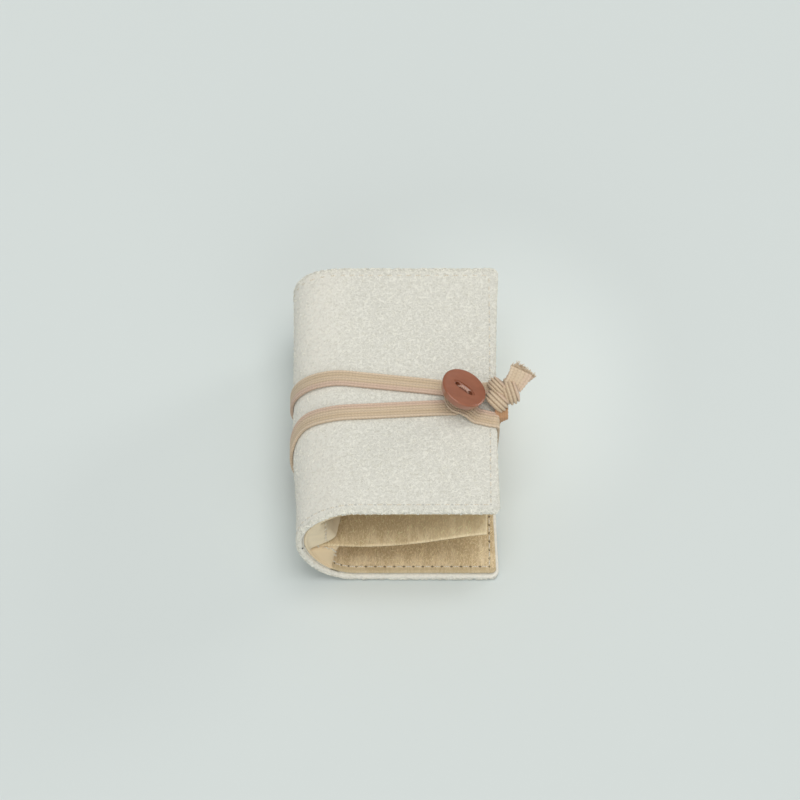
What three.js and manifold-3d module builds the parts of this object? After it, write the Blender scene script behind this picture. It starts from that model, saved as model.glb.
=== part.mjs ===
// A needle book lying closed on its back cover: a padded cloth cover folded round a
// wide spine, a felt leaf for the needles, a button on the front cover and a knotted
// braided elastic that goes round the book and hooks on the button.
// Millimetres. +X spine to fore-edge, +Y tail to head, +Z up. The origin is the middle
// of the closed book on the face that it lies on.
import * as THREE from 'three';
import { mergeVertices } from 'three/addons/utils/BufferGeometryUtils.js';
import Module from 'manifold-3d';

const wasm = await Module();
wasm.setup();

// The closed book
const bookWidth = 65;
const bookLength = 90;
const bookThickness = 40;
const coverCorner = 2.5;
const foreEdgeBow = 1;

// Cloth, from the outside in
const outerCloth = 1.9;
const interlining = 0.5;
const lining = 0.8;
const layerGap = 0.2;
const liningInset = 1.2;
const interliningInset = 2.2;
const clothRounding = 0.6;

// Spine, made of stiff parts that turn on each other
const spineParts = 5;
const jointGap = 0.3;
const arcSteps = 5;

// Seams
const seamInset = 2.8;
const foreSeamInset = 2;
const threadThickness = 0.3;
const threadDepth = 0.2;
const channelSide = 0.32;

// Felt leaf
const leafThickness = 1.2;
const leafInset = 3;
const leafRootHeight = 17.2;
const leafRootGap = 0.6;
const leafEndHeight = 24.4;
const leafForeInset = 4;
const leafSteps = 14;
// The leaf's middle line, in shares of its run and of its rise
const risingShares = [[0, 0], [0.15, -0.06], [0.36, -0.1], [0.6, 0.16], [0.9, 0.84], [1, 1]];

// Braided elastic
const bandWidth = 5.6;
const bandThickness = 1;
const bandClearance = 0.3;
const bandLift = 0.1;
const bandTurn = 1.2;
const hookRadius = 3;
const hookWidth = 3.6;
const hookRise = 1.5;
const hookReach = 6;
const hookSwing = 2.07;
const hookEndShare = 0.8;
const upperHookShare = 1.25;
const arcStations = 12;
const hookSteps = 8;

// Button, its tilt towards the fore-edge and the head, and its thread
const buttonRadius = 7.5;
const buttonThickness = 3;
const buttonRim = 0.9;
const buttonInset = 11.7;
const buttonY = -3.6;
const buttonHeight = 7.7;
const buttonLeanX = 0.42;
const buttonLeanY = 0.18;
const holeRadius = 0.95;
const holeSpacing = 4.6;
const holeTurn = -0.52;
const eyeLength = 8.4;
const eyeWidth = 2.8;
const eyeDepth = 0.5;
const sewingThread = 0.4;
const shankInset = 12.7;
const shankY = -2.7;
const shankSpread = 0.55;

// Knot and the two cut ends of the elastic
const knotInset = 1.1;
const knotY = -0.8;
const knotHeight = 3.7;
const knotRadius = 4;
const tailLength = 6;
const tailFlare = 1.2;
const tailGap = 0.45;
const tailReach = [0.56, 0.5, 0.66];
const tailSide = [0.87, -0.3, -0.38];
const tailTurns = { upper: 0.1, lower: -0.14 };

// How far a cutter runs past what it cuts, and how near two points are one
const overrun = 2;
const weld = 1e-5;

// Places worked out from the sizes
const spineRadius = bookThickness / 2;
const spineX = spineRadius - bookWidth / 2;
const foreX = bookWidth / 2;
const halfLength = bookLength / 2;
const buttonX = foreX - buttonInset;
const shankX = foreX - shankInset;
const knotX = foreX - knotInset;
const interliningDepth = outerCloth + layerGap;
const liningDepth = interliningDepth + interlining + layerGap;
const innerDepth = liningDepth + lining;

const finishes = {
  outerCloth: new THREE.MeshStandardMaterial({ color: '#e6e2d6', roughness: 0.95 }),
  interlining: new THREE.MeshStandardMaterial({ color: '#efede6', roughness: 0.95 }),
  lining: new THREE.MeshStandardMaterial({ color: '#c2ab83', roughness: 0.92 }),
  spineLining: new THREE.MeshStandardMaterial({ color: '#d3c2a0', roughness: 0.85 }),
  felt: new THREE.MeshStandardMaterial({ color: '#b99f76', roughness: 0.95 }),
  seamThread: new THREE.MeshStandardMaterial({ color: '#e9dfc6', roughness: 0.6 }),
  elastic: new THREE.MeshStandardMaterial({ color: '#d2b592', roughness: 0.8 }),
  button: new THREE.MeshStandardMaterial({ color: '#9c604a', roughness: 0.4 }),
  buttonThread: new THREE.MeshStandardMaterial({ color: '#cda48f', roughness: 0.6 }),
};

// Solid from a closed three.js geometry, and back
function toSolid(geometry) {
  const bare = geometry.clone();
  bare.deleteAttribute('normal');
  bare.deleteAttribute('uv');
  const merged = mergeVertices(bare, weld);
  return new wasm.Manifold(new wasm.Mesh({
    numProp: 3,
    vertProperties: new Float32Array(merged.attributes.position.array),
    triVerts: new Uint32Array(merged.index.array),
  }));
}

function toGeometry(solid) {
  const mesh = solid.getMesh();
  const geometry = new THREE.BufferGeometry();
  geometry.setAttribute('position', new THREE.BufferAttribute(mesh.vertProperties, 3));
  geometry.setIndex(new THREE.BufferAttribute(mesh.triVerts, 1));
  const loose = geometry.toNonIndexed();
  loose.computeVertexNormals();
  return loose;
}

function without(geometry, ...cutters) {
  return toGeometry(cutters.reduce((left, cutter) => left.subtract(cutter), toSolid(geometry)));
}

const group = new THREE.Group();

function addPiece(name, geometry, finish, parent = group) {
  const mesh = new THREE.Mesh(geometry, finish);
  mesh.name = name;
  parent.add(mesh);
  return mesh;
}

// Tube through stations {at, across, out, width, thickness}: a six-sided section, the long
// way along across and the short way along out, closed at both ends
const sectionShares = [[1, 0], [0.78, 1], [-0.78, 1], [-1, 0], [-0.78, -1], [0.78, -1]];

function ribbon(stations, grow = 0) {
  const sides = sectionShares.length;
  const points = [];
  for (const { at, across, out, width, thickness } of stations) {
    for (const [side, face] of sectionShares) {
      points.push(at.clone()
        .addScaledVector(across, side * (width / 2 + grow))
        .addScaledVector(out, face * (thickness / 2 + grow)));
    }
  }
  const faces = [];
  for (let row = 0; row + 1 < stations.length; row += 1) {
    for (let side = 0; side < sides; side += 1) {
      const a = row * sides + side;
      const b = row * sides + (side + 1) % sides;
      faces.push(a, b, b + sides, a, b + sides, a + sides);
    }
  }
  const last = (stations.length - 1) * sides;
  for (let side = 1; side + 1 < sides; side += 1) {
    faces.push(0, side + 1, side, last, last + side, last + side + 1);
  }
  const geometry = new THREE.BufferGeometry();
  geometry.setAttribute('position', new THREE.Float32BufferAttribute(
    points.flatMap((point) => point.toArray()), 3));
  geometry.setIndex(faces);
  geometry.computeVertexNormals();
  return geometry;
}

// Stations from points and the way that the flat face looks at each
function stationsFrom(points) {
  return points.map((point, index) => {
    const before = points[Math.max(index - 1, 0)].at;
    const after = points[Math.min(index + 1, points.length - 1)].at;
    const along = after.clone().sub(before).normalize();
    const out = point.out.clone().addScaledVector(along, -point.out.dot(along)).normalize();
    const across = new THREE.Vector3().crossVectors(out, along).normalize();
    return {
      at: point.at, across, out,
      width: point.width ?? bandWidth, thickness: point.thickness ?? bandThickness,
    };
  });
}

// Route of the elastic in the book's cross-section. Distance 0 is where the top run starts
// at the fore-edge. It grows over the top, round the spine, under the book and up the mouth.
const routeTop = bookThickness + bandThickness / 2;
const routeBottom = bandLift + bandThickness / 2;
const routeRadius = (routeTop - routeBottom) / 2;
const routeSpineX = routeRadius - bookWidth / 2 - bandThickness / 2;
const routeForeX = foreX - foreEdgeBow + bandThickness / 2;
const flatRun = routeForeX - bandTurn - routeSpineX;
const spineRun = Math.PI * routeRadius;
const turnRun = Math.PI * bandTurn / 2;
const mouthRun = routeTop - routeBottom - 2 * bandTurn;
const routeLength = 2 * flatRun + spineRun + 2 * turnRun + mouthRun;
const spineStart = flatRun;
const underStart = spineStart + spineRun;
const lowTurnStart = underStart + flatRun;
const mouthStart = lowTurnStart + turnRun;
const highTurnStart = mouthStart + mouthRun;

function onArc(centreX, centreZ, radius, angle) {
  const out = new THREE.Vector3(Math.cos(angle), 0, Math.sin(angle));
  const at = new THREE.Vector3(centreX, 0, centreZ).addScaledVector(out, radius);
  return { at, out };
}

function onRoute(distance) {
  const s = ((distance % routeLength) + routeLength) % routeLength;
  const up = new THREE.Vector3(0, 0, 1);
  if (s < spineStart) {
    return { at: new THREE.Vector3(routeForeX - bandTurn - s, 0, routeTop), out: up };
  }
  if (s < underStart) {
    const angle = Math.PI / 2 + (s - spineStart) / routeRadius;
    return onArc(routeSpineX, routeBottom + routeRadius, routeRadius, angle);
  }
  if (s < lowTurnStart) {
    return {
      at: new THREE.Vector3(routeSpineX + s - underStart, 0, routeBottom),
      out: up.negate(),
    };
  }
  if (s < mouthStart) {
    const angle = -Math.PI / 2 + (s - lowTurnStart) / bandTurn;
    return onArc(routeForeX - bandTurn, routeBottom + bandTurn, bandTurn, angle);
  }
  if (s < highTurnStart) {
    return {
      at: new THREE.Vector3(routeForeX, 0, routeBottom + bandTurn + s - mouthStart),
      out: new THREE.Vector3(1, 0, 0),
    };
  }
  const angle = (s - highTurnStart) / bandTurn;
  return onArc(routeForeX - bandTurn, routeTop - bandTurn, bandTurn, angle);
}

// Smooth value at a distance, from [distance, value] pairs in rising order
function between(pairs, distance) {
  const last = pairs.length - 1;
  let index = 0;
  while (index < last - 1 && distance > pairs[index + 1][0]) index += 1;
  const slope = (k) => {
    const low = pairs[Math.max(k - 1, 0)];
    const high = pairs[Math.min(k + 1, last)];
    return (high[1] - low[1]) / (high[0] - low[0]);
  };
  const [[a, from], [b, to]] = [pairs[index], pairs[index + 1]];
  const span = b - a;
  const t = THREE.MathUtils.clamp((distance - a) / span, 0, 1);
  return (2 * t ** 3 - 3 * t ** 2 + 1) * from + (t ** 3 - 2 * t ** 2 + t) * span * slope(index)
    + (3 * t ** 2 - 2 * t ** 3) * to + (t ** 3 - t ** 2) * span * slope(index + 1);
}

// Distances on the route at which a strand gets a station: ends, corners and even steps
const mouthSteps = 4;
const flatSteps = 4;
const turnSteps = 3;

function routeDistances(from, to) {
  const stretches = [
    [0, spineStart, flatSteps], [spineStart, underStart, arcStations],
    [underStart, lowTurnStart, flatSteps], [lowTurnStart, mouthStart, turnSteps],
    [mouthStart, highTurnStart, mouthSteps], [highTurnStart, routeLength, turnSteps],
  ];
  const clear = bandThickness;
  const found = [from];
  for (const lap of [-routeLength, 0]) {
    for (const [start, end, steps] of stretches) {
      for (let step = 0; step < steps; step += 1) {
        const s = lap + start + (end - start) * step / steps;
        if (s > from + clear && s < to - clear) found.push(s);
      }
    }
  }
  found.push(to);
  return found;
}

function strand(from, to, places) {
  return routeDistances(from, to).map((s) => {
    const { at, out } = onRoute(s);
    at.y = between(places, s);
    return { at, out };
  });
}

// Distance on the top run of a place along X
const topAt = (x) => routeForeX - bandTurn - x;
// Distance on the spine of an angle down from the top
const spineAt = (degrees) => spineStart + THREE.MathUtils.degToRad(degrees) * routeRadius;

// Where the two laps lie along the book at places on the route, as shares of its length,
// chosen by hand
const firstLapShares = [
  [topAt(shankX - hookReach), -0.064], [spineStart, -0.08], [spineAt(20), -0.08],
  [spineAt(55), -0.078], [spineAt(90), -0.116], [spineAt(130), -0.144],
  [underStart, -0.129], [underStart + flatRun / 2, -0.044], [mouthStart, 0.038],
  [mouthStart + mouthRun / 2, -0.038], [highTurnStart, -0.111],
];
const secondLapShares = [
  [topAt(shankX - hookReach), 0.017], [spineStart, 0.052], [spineAt(20), 0.062],
  [spineAt(90), 0.077], [underStart, 0.084], [mouthStart, 0.111],
  [mouthStart + mouthRun / 2, 0.071], [highTurnStart - knotRadius, 0.016],
];
const alongBook = (shares, lap) => shares.map(
  ([distance, share]) => [distance - lap * routeLength, share * bookLength]);

// First lap, backwards along the route: from the hook over the fore-edge, down the mouth,
// under the book and up the spine to the button
const firstLap = strand(topAt(shankX) - routeLength, topAt(shankX + hookReach), [
  [topAt(shankX) - routeLength, shankY - hookRadius],
  ...alongBook(firstLapShares, 1),
  [topAt(shankX + hookReach), shankY - hookSwing * hookRadius],
]).reverse();

// Second lap: from the button over the top, down the spine, under the book and up to the knot
const secondLap = strand(topAt(shankX), highTurnStart - knotRadius, [
  [topAt(shankX), shankY + hookRadius],
  ...alongBook(secondLapShares, 0),
]);

// Half turn of the elastic round the thread under the button, seen from above
function hook(startAngle, height, tailShare) {
  const up = new THREE.Vector3(0, 0, 1);
  const points = [];
  for (let step = 0; step <= hookSteps; step += 1) {
    const angle = startAngle + Math.PI * step / hookSteps;
    const reach = Math.sin(angle) < 0 ? hookRadius * tailShare : hookRadius;
    const narrow = Math.sin(Math.PI * step / hookSteps);
    points.push({
      at: new THREE.Vector3(
        shankX + hookRadius * Math.cos(angle), shankY + reach * Math.sin(angle), height),
      out: up,
      width: THREE.MathUtils.lerp(bandWidth * hookEndShare, hookWidth, narrow),
    });
  }
  return points;
}

// The knot's end of the elastic hooks over the thread from the fore-edge side, above the
// other turn. The last lap ends below the knot.
const hookTop = routeTop + hookRise;
const knotZ = bookThickness + knotHeight;
const upperHook = hook(Math.PI / 2, hookTop, upperHookShare);
const lowerHook = hook(-Math.PI / 2, routeTop, 1);
const flatUp = new THREE.Vector3(0, 0, 1);
const knotLead = [
  [knotX - knotRadius - bandClearance, knotY + 0.15 * knotRadius, hookTop + bandThickness / 2],
  [knotX - knotRadius - 1.5 * bandThickness, knotY + 0.15 * knotRadius, hookTop + bandThickness / 2],
  [shankX + hookRadius, shankY + hookRadius, hookTop + bandLift],
].map((place) => ({
  at: new THREE.Vector3(...place), out: flatUp, width: bandWidth * hookEndShare,
}));

// Last stretch, which twists up to the knot: how far out from the route and along from the
// knot in shares of the knot's radius, how far up from the front cover, and where it faces
const knotEndShares = [
  { outward: 0.125, along: 0.425, up: -0.6, lean: [1, -0.35, 0] },
  { outward: 0.325, along: 0.3, up: -0.2, lean: [1, -0.7, -0.2] },
  { outward: 0.4, along: 0.225, up: 0.1, lean: [1, -0.9, -0.2] },
];
const knotEnd = knotEndShares.map(({ outward, along, up, lean }) => ({
  at: new THREE.Vector3(
    routeForeX + outward * knotRadius,
    knotY + along * knotRadius,
    bookThickness + up * knotRadius,
  ),
  out: new THREE.Vector3(...lean),
  width: bandWidth * hookEndShare,
}));

const bandPoints = [
  ...knotLead,
  ...upperHook,
  {
    at: new THREE.Vector3(shankX + hookRadius, shankY - hookSwing * hookRadius + hookRise, hookTop),
    out: flatUp,
  },
  ...firstLap.slice(0, -1),
  ...lowerHook,
  ...secondLap.slice(1),
  ...knotEnd,
];
const band = stationsFrom(bandPoints);

// Least gap of the elastic to itself, measured on points all over its surface
function leastSelfGap(stations) {
  const fine = 3;
  const ring = [];
  let run = 0;
  for (let k = 0; k + 1 < stations.length; k += 1) {
    const [a, b] = [stations[k], stations[k + 1]];
    for (let part = 0; part < fine; part += 1) {
      const t = part / fine;
      const mix = (key) => a[key].clone().lerp(b[key], t);
      const at = mix('at');
      const across = mix('across').normalize();
      const out = mix('out').normalize();
      const width = THREE.MathUtils.lerp(a.width, b.width, t);
      const thickness = THREE.MathUtils.lerp(a.thickness, b.thickness, t);
      const points = [];
      for (let side = -4; side <= 4; side += 1) {
        for (const face of [-1, 1]) {
          points.push(at.clone().addScaledVector(across, side / 4 * width / 2)
            .addScaledVector(out, face * thickness / 2));
        }
      }
      ring.push({ at, points, run: run + t * a.at.distanceTo(b.at) });
    }
    run += a.at.distanceTo(b.at);
  }
  let least = Infinity;
  for (let i = 0; i < ring.length; i += 1) {
    for (let j = i + 1; j < ring.length; j += 1) {
      if (ring[j].run - ring[i].run < 3 * bandWidth) continue;
      if (ring[i].at.distanceTo(ring[j].at) > 2 * bandWidth) continue;
      for (const p of ring[i].points) {
        for (const q of ring[j].points) least = Math.min(least, p.distanceTo(q));
      }
    }
  }
  return least;
}
console.log(`elastic: least gap to itself ${leastSelfGap(band).toFixed(2)} mm`);

// The outer cloth is pressed in where the elastic lies on it
const pressed = [firstLap, secondLap].map(
  (lap) => toSolid(ribbon(stationsFrom(lap), bandClearance)));

// Outline of a cover panel: square at the spine, rounded and drawn in at the fore-edge
function panelOutline(inset, spineSide) {
  const x = foreX - inset;
  const y = halfLength - inset;
  const corner = Math.max(coverCorner - inset, coverCorner / 3);
  const outline = new THREE.Shape();
  outline.moveTo(spineSide, -y);
  outline.lineTo(x - corner, -y);
  outline.absarc(x - corner, -y + corner, corner, -Math.PI / 2, 0, false);
  outline.quadraticCurveTo(x - 2 * foreEdgeBow, 0, x, y - corner);
  outline.absarc(x - corner, y - corner, corner, 0, Math.PI / 2, false);
  outline.lineTo(spineSide, y);
  outline.closePath();
  return outline;
}

function boxSolid(low, high) {
  const size = high.clone().sub(low);
  const box = new THREE.BoxGeometry(size.x, size.y, size.z);
  box.translate(...low.clone().add(high).multiplyScalar(1 / 2).toArray());
  return toSolid(box);
}

// One cloth layer of a cover, from its depth below the outer face. The back cover's outer
// face looks down and the front cover's looks up.
function panel(front, depth, thickness, inset, rounding = 0) {
  const spineSide = spineX + jointGap / 2;
  const sheet = new THREE.ExtrudeGeometry(panelOutline(inset, spineSide - overrun), {
    depth: thickness - 2 * rounding,
    bevelEnabled: rounding > 0,
    bevelThickness: rounding,
    bevelSize: rounding,
    bevelOffset: -rounding,
    bevelSegments: 2,
    curveSegments: 6,
  });
  const low = front ? bookThickness - depth - thickness : depth;
  sheet.translate(0, 0, low + rounding);
  const trim = boxSolid(
    new THREE.Vector3(spineSide - 2 * overrun, -bookLength, -overrun),
    new THREE.Vector3(spineSide, bookLength, bookThickness + overrun),
  );
  return toGeometry(toSolid(sheet).subtract(trim));
}

// Seam run round the three free sides of a cover, as wide as a thread or its channel
function seamSolid(front, depth, halfWidth, thickness) {
  const y = halfLength - seamInset;
  const x = foreX - foreEdgeBow - foreSeamInset;
  const start = spineX + jointGap;
  const run = new THREE.Shape();
  run.moveTo(start, -y - halfWidth);
  run.lineTo(x + halfWidth, -y - halfWidth);
  run.lineTo(x + halfWidth, y + halfWidth);
  run.lineTo(start, y + halfWidth);
  run.lineTo(start, y - halfWidth);
  run.lineTo(x - halfWidth, y - halfWidth);
  run.lineTo(x - halfWidth, -y + halfWidth);
  run.lineTo(start, -y + halfWidth);
  run.closePath();
  const sheet = new THREE.ExtrudeGeometry(run, { depth: thickness, bevelEnabled: false });
  sheet.translate(0, 0, front ? bookThickness - depth - thickness : depth);
  return sheet;
}

// Channel that a seam pulls into the cloth, open to the side that the seam is seen on
const threadHalf = threadThickness / 2;
const outerChannel = 2 * threadDepth + 2 * threadThickness;

function outerSeamChannel(front) {
  const cut = seamSolid(front, -overrun, threadHalf + channelSide, overrun + outerChannel);
  return toSolid(cut);
}

// Straight stretch of the back cover's outer seam along its tail or head
function backSeamRun(side, halfWidth, low, high) {
  const y = side * (halfLength - seamInset);
  const start = spineX + jointGap + (halfWidth > threadHalf ? 0 : channelSide);
  const end = foreX - foreEdgeBow - foreSeamInset + (halfWidth > threadHalf ? channelSide : 0);
  const run = new THREE.BoxGeometry(end - start, 2 * halfWidth, high - low);
  run.translate((start + end) / 2, y, (low + high) / 2);
  return run;
}

function cover(front) {
  const name = front ? 'front' : 'back';
  const outer = panel(front, 0, outerCloth, 0, clothRounding);
  const channels = front
    ? [outerSeamChannel(true)]
    : [-1, 1].map((side) => toSolid(
      backSeamRun(side, threadHalf + channelSide, -overrun, outerChannel)));
  addPiece(`${name}_cover`, without(outer, ...pressed, ...channels), finishes.outerCloth);
  addPiece(`${name}_interlining`, panel(front, interliningDepth, interlining, interliningInset),
    finishes.interlining);
  addPiece(`${name}_lining`, panel(front, liningDepth, lining, liningInset), finishes.lining);
  const innerSeam = innerDepth + layerGap / 2;
  addPiece(`${name}_inner_seam`, seamSolid(front, innerSeam, threadHalf, threadThickness),
    finishes.seamThread);
  if (front) {
    addPiece('front_outer_seam', seamSolid(true, threadDepth, threadHalf, threadThickness),
      finishes.seamThread);
  } else {
    addPiece('back_outer_seam_tail', backSeamRun(-1, threadHalf, threadDepth,
      threadDepth + threadThickness), finishes.seamThread);
    addPiece('back_outer_seam_head', backSeamRun(1, threadHalf, threadDepth,
      threadDepth + threadThickness), finishes.seamThread);
  }
}

// One cloth layer of one spine part, a stretch of the half round counted from the back cover
function spineSector(index, depth, thickness, inset) {
  const outer = spineRadius - depth;
  const inner = outer - thickness;
  const share = Math.PI / spineParts;
  const gap = jointGap / 2 / inner;
  const from = index * share + gap;
  const to = (index + 1) * share - gap;
  const place = (radius, angle) => new THREE.Vector2(
    spineX - radius * Math.sin(angle), spineRadius - radius * Math.cos(angle));
  const points = [];
  for (let step = 0; step <= arcSteps; step += 1) {
    points.push(place(outer, from + (to - from) * step / arcSteps));
  }
  for (let step = arcSteps; step >= 0; step -= 1) {
    points.push(place(inner, from + (to - from) * step / arcSteps));
  }
  const length = bookLength - 2 * inset;
  const sheet = new THREE.ExtrudeGeometry(new THREE.Shape(points.reverse()), {
    depth: length, bevelEnabled: false,
  });
  sheet.rotateX(Math.PI / 2);
  sheet.translate(0, length / 2, 0);
  return sheet;
}

function spine() {
  for (let index = 0; index < spineParts; index += 1) {
    const part = index + 1;
    addPiece(`spine_cover_${part}`, without(spineSector(index, 0, outerCloth, 0), ...pressed),
      finishes.outerCloth);
    addPiece(`spine_interlining_${part}`,
      spineSector(index, interliningDepth, interlining, interliningInset), finishes.interlining);
    addPiece(`spine_lining_${part}`,
      spineSector(index, liningDepth, lining, liningInset), finishes.spineLining);
  }
}

// Felt leaf: sewn to the middle of the spine, it dips a little and rises to the fore-edge
function feltLeaf() {
  const liningRadius = spineRadius - innerDepth;
  const drop = spineRadius - leafRootHeight;
  const rootX = spineX - Math.sqrt(liningRadius ** 2 - drop ** 2) + leafRootGap;
  const endX = foreX - leafForeInset;
  const rise = leafEndHeight - leafRootHeight;
  const middle = new THREE.SplineCurve(risingShares.map(([along, up]) => new THREE.Vector2(
    THREE.MathUtils.lerp(rootX, endX, along), leafRootHeight + rise * up)));
  const over = [];
  const under = [];
  for (let step = 0; step <= leafSteps; step += 1) {
    const at = middle.getPoint(step / leafSteps);
    const along = middle.getTangent(step / leafSteps);
    const normal = new THREE.Vector2(-along.y, along.x);
    over.push(at.clone().addScaledVector(normal, leafThickness / 2));
    under.push(at.clone().addScaledVector(normal, -leafThickness / 2));
  }
  const length = bookLength - 2 * leafInset;
  const sheet = new THREE.ExtrudeGeometry(new THREE.Shape([...under, ...over.reverse()]), {
    depth: length, bevelEnabled: false,
  });
  sheet.rotateX(Math.PI / 2);
  sheet.translate(0, length / 2, 0);
  addPiece('felt_leaf', sheet, finishes.felt);
}

// Button: a turned disc with a rounded rim, a hollow shaped like an eye and two holes
const buttonUp = new THREE.Vector3(
  buttonLeanX, buttonLeanY, Math.sqrt(1 - buttonLeanX ** 2 - buttonLeanY ** 2));
const buttonPose = new THREE.Quaternion()
  .setFromUnitVectors(new THREE.Vector3(0, 0, 1), buttonUp)
  .multiply(new THREE.Quaternion().setFromAxisAngle(new THREE.Vector3(0, 0, 1), holeTurn));
const buttonPlace = new THREE.Vector3(buttonX, buttonY, bookThickness + buttonHeight);

function button() {
  const half = buttonThickness / 2;
  const rimSteps = 4;
  const profile = [new THREE.Vector2(0, -half)];
  for (const [side, from] of [[-1, -Math.PI / 2], [1, 0]]) {
    for (let step = 0; step <= rimSteps; step += 1) {
      const angle = from + Math.PI / 2 * step / rimSteps;
      profile.push(new THREE.Vector2(
        buttonRadius - buttonRim + buttonRim * Math.cos(angle),
        side * (half - buttonRim) + buttonRim * Math.sin(angle)));
    }
  }
  profile.push(new THREE.Vector2(0, half));
  const disc = new THREE.LatheGeometry(profile, 40);
  disc.rotateX(Math.PI / 2);
  const cutters = [-1, 1].map((side) => {
    const hole = new THREE.CylinderGeometry(
      holeRadius, holeRadius, buttonThickness + 2 * overrun, 16);
    hole.rotateX(Math.PI / 2);
    hole.translate(side * holeSpacing / 2, 0, 0);
    return toSolid(hole);
  });
  const eye = new THREE.Shape();
  eye.moveTo(-eyeLength / 2, 0);
  eye.quadraticCurveTo(0, -eyeWidth, eyeLength / 2, 0);
  eye.quadraticCurveTo(0, eyeWidth, -eyeLength / 2, 0);
  const hollow = new THREE.ExtrudeGeometry(eye, {
    depth: eyeDepth + overrun, bevelEnabled: false, curveSegments: 8,
  });
  hollow.translate(0, 0, half - eyeDepth);
  const mesh = addPiece('button', without(disc, ...cutters, toSolid(hollow)), finishes.button);
  mesh.quaternion.copy(buttonPose);
  mesh.position.copy(buttonPlace);
}

// Thread that sews the button on: up one hole, over the bar and down the other
function buttonThread() {
  const onButton = (x, z) => new THREE.Vector3(x, 0, z)
    .applyQuaternion(buttonPose).add(buttonPlace);
  const half = buttonThickness / 2;
  const hole = holeSpacing / 2;
  const bar = half - eyeDepth + sewingThread + bandClearance;
  const spread = new THREE.Vector3(shankSpread, 0, 0)
    .applyAxisAngle(new THREE.Vector3(0, 0, 1), holeTurn);
  const foot = new THREE.Vector3(shankX, shankY, bookThickness + bandClearance);
  const waist = foot.clone().setZ(hookTop + bandThickness);
  const route = new THREE.CatmullRomCurve3([
    foot.clone().sub(spread),
    waist.clone().sub(spread),
    onButton(-hole, -half),
    onButton(-hole, half - eyeDepth),
    onButton(-hole + holeRadius, bar),
    onButton(hole - holeRadius, bar),
    onButton(hole, half - eyeDepth),
    onButton(hole, -half),
    waist.clone().add(spread),
    foot.clone().add(spread),
  ], false, 'centripetal');
  const section = new THREE.Shape();
  section.absarc(0, 0, sewingThread, 0, 2 * Math.PI, false);
  const thread = new THREE.ExtrudeGeometry(section, {
    steps: 44, extrudePath: route, bevelEnabled: false, curveSegments: 4,
  });
  addPiece('button_thread', thread, finishes.buttonThread);
}

// Knot of the two ends: three rolls of the elastic drawn together. Each has its turn and, in
// shares of the knot's radius, its place and its half sizes.
const rollShares = [
  { turn: [0.3, 0.5, 0.35], move: [-0.34, -0.1, -0.05], half: [0.62, 1, 0.8] },
  { turn: [-0.35, 0.85, -0.2], move: [0.06, 0, 0.1], half: [0.66, 1, 0.8] },
  { turn: [0.25, 1.15, 0.3], move: [0.42, 0.12, 0.08], half: [0.58, 1, 0.8] },
];

function knot() {
  const centre = new THREE.Vector3(knotX, knotY, knotZ);
  const solids = rollShares.map(({ turn, move, half }) => {
    const roll = new THREE.SphereGeometry(1, 18, 12);
    roll.scale(...half.map((part) => part * knotRadius));
    roll.applyQuaternion(new THREE.Quaternion().setFromEuler(new THREE.Euler(...turn)));
    roll.translate(...move.map((part) => part * knotRadius));
    roll.translate(...centre.toArray());
    return toSolid(roll);
  });
  const whole = solids.reduce((joined, roll) => joined.add(roll));
  addPiece('elastic_knot', toGeometry(whole), finishes.elastic);
}

// The two cut ends, one lying on the other and fanned a little apart
function tails() {
  const reach = new THREE.Vector3(...tailReach).normalize();
  const side = new THREE.Vector3(...tailSide);
  const across = side.addScaledVector(reach, -side.dot(reach)).normalize();
  const out = new THREE.Vector3().crossVectors(reach, across).normalize();
  const root = new THREE.Vector3(knotX, knotY, knotZ).addScaledVector(reach, knotRadius + bandThickness);
  for (const [name, turn] of Object.entries(tailTurns)) {
    const rise = Math.sign(turn) * (bandThickness + tailGap) / 2;
    const points = [0, 0.5, 1].map((share) => {
      const swing = reach.clone().applyAxisAngle(out, turn * share);
      return {
        at: root.clone().addScaledVector(out, rise).addScaledVector(swing, share * tailLength),
        across: across.clone().applyAxisAngle(out, turn * share),
        out,
        width: bandWidth + tailFlare * (share - 1),
        thickness: bandThickness,
      };
    });
    addPiece(`elastic_end_${name}`, ribbon(points), finishes.elastic);
  }
}

function build() {
  cover(false);
  spine();
  cover(true);
  feltLeaf();
  button();
  buttonThread();
  addPiece('elastic_band', ribbon(band), finishes.elastic);
  knot();
  tails();
}
build();

export default group;
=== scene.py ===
"""Needle book: cloth cover, linings, felt leaf, button and knotted elastic.

Run as a script, it dresses the packed model. Each operator in the sidebar makes one piece
or one group of like pieces. Lengths are millimetres until a mesh is made, which is in metres.
"""

import math

import bpy
import numpy as np
from bpy.props import FloatProperty, FloatVectorProperty, IntProperty, PointerProperty
from mathutils import Matrix, Vector, kdtree, noise


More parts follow.
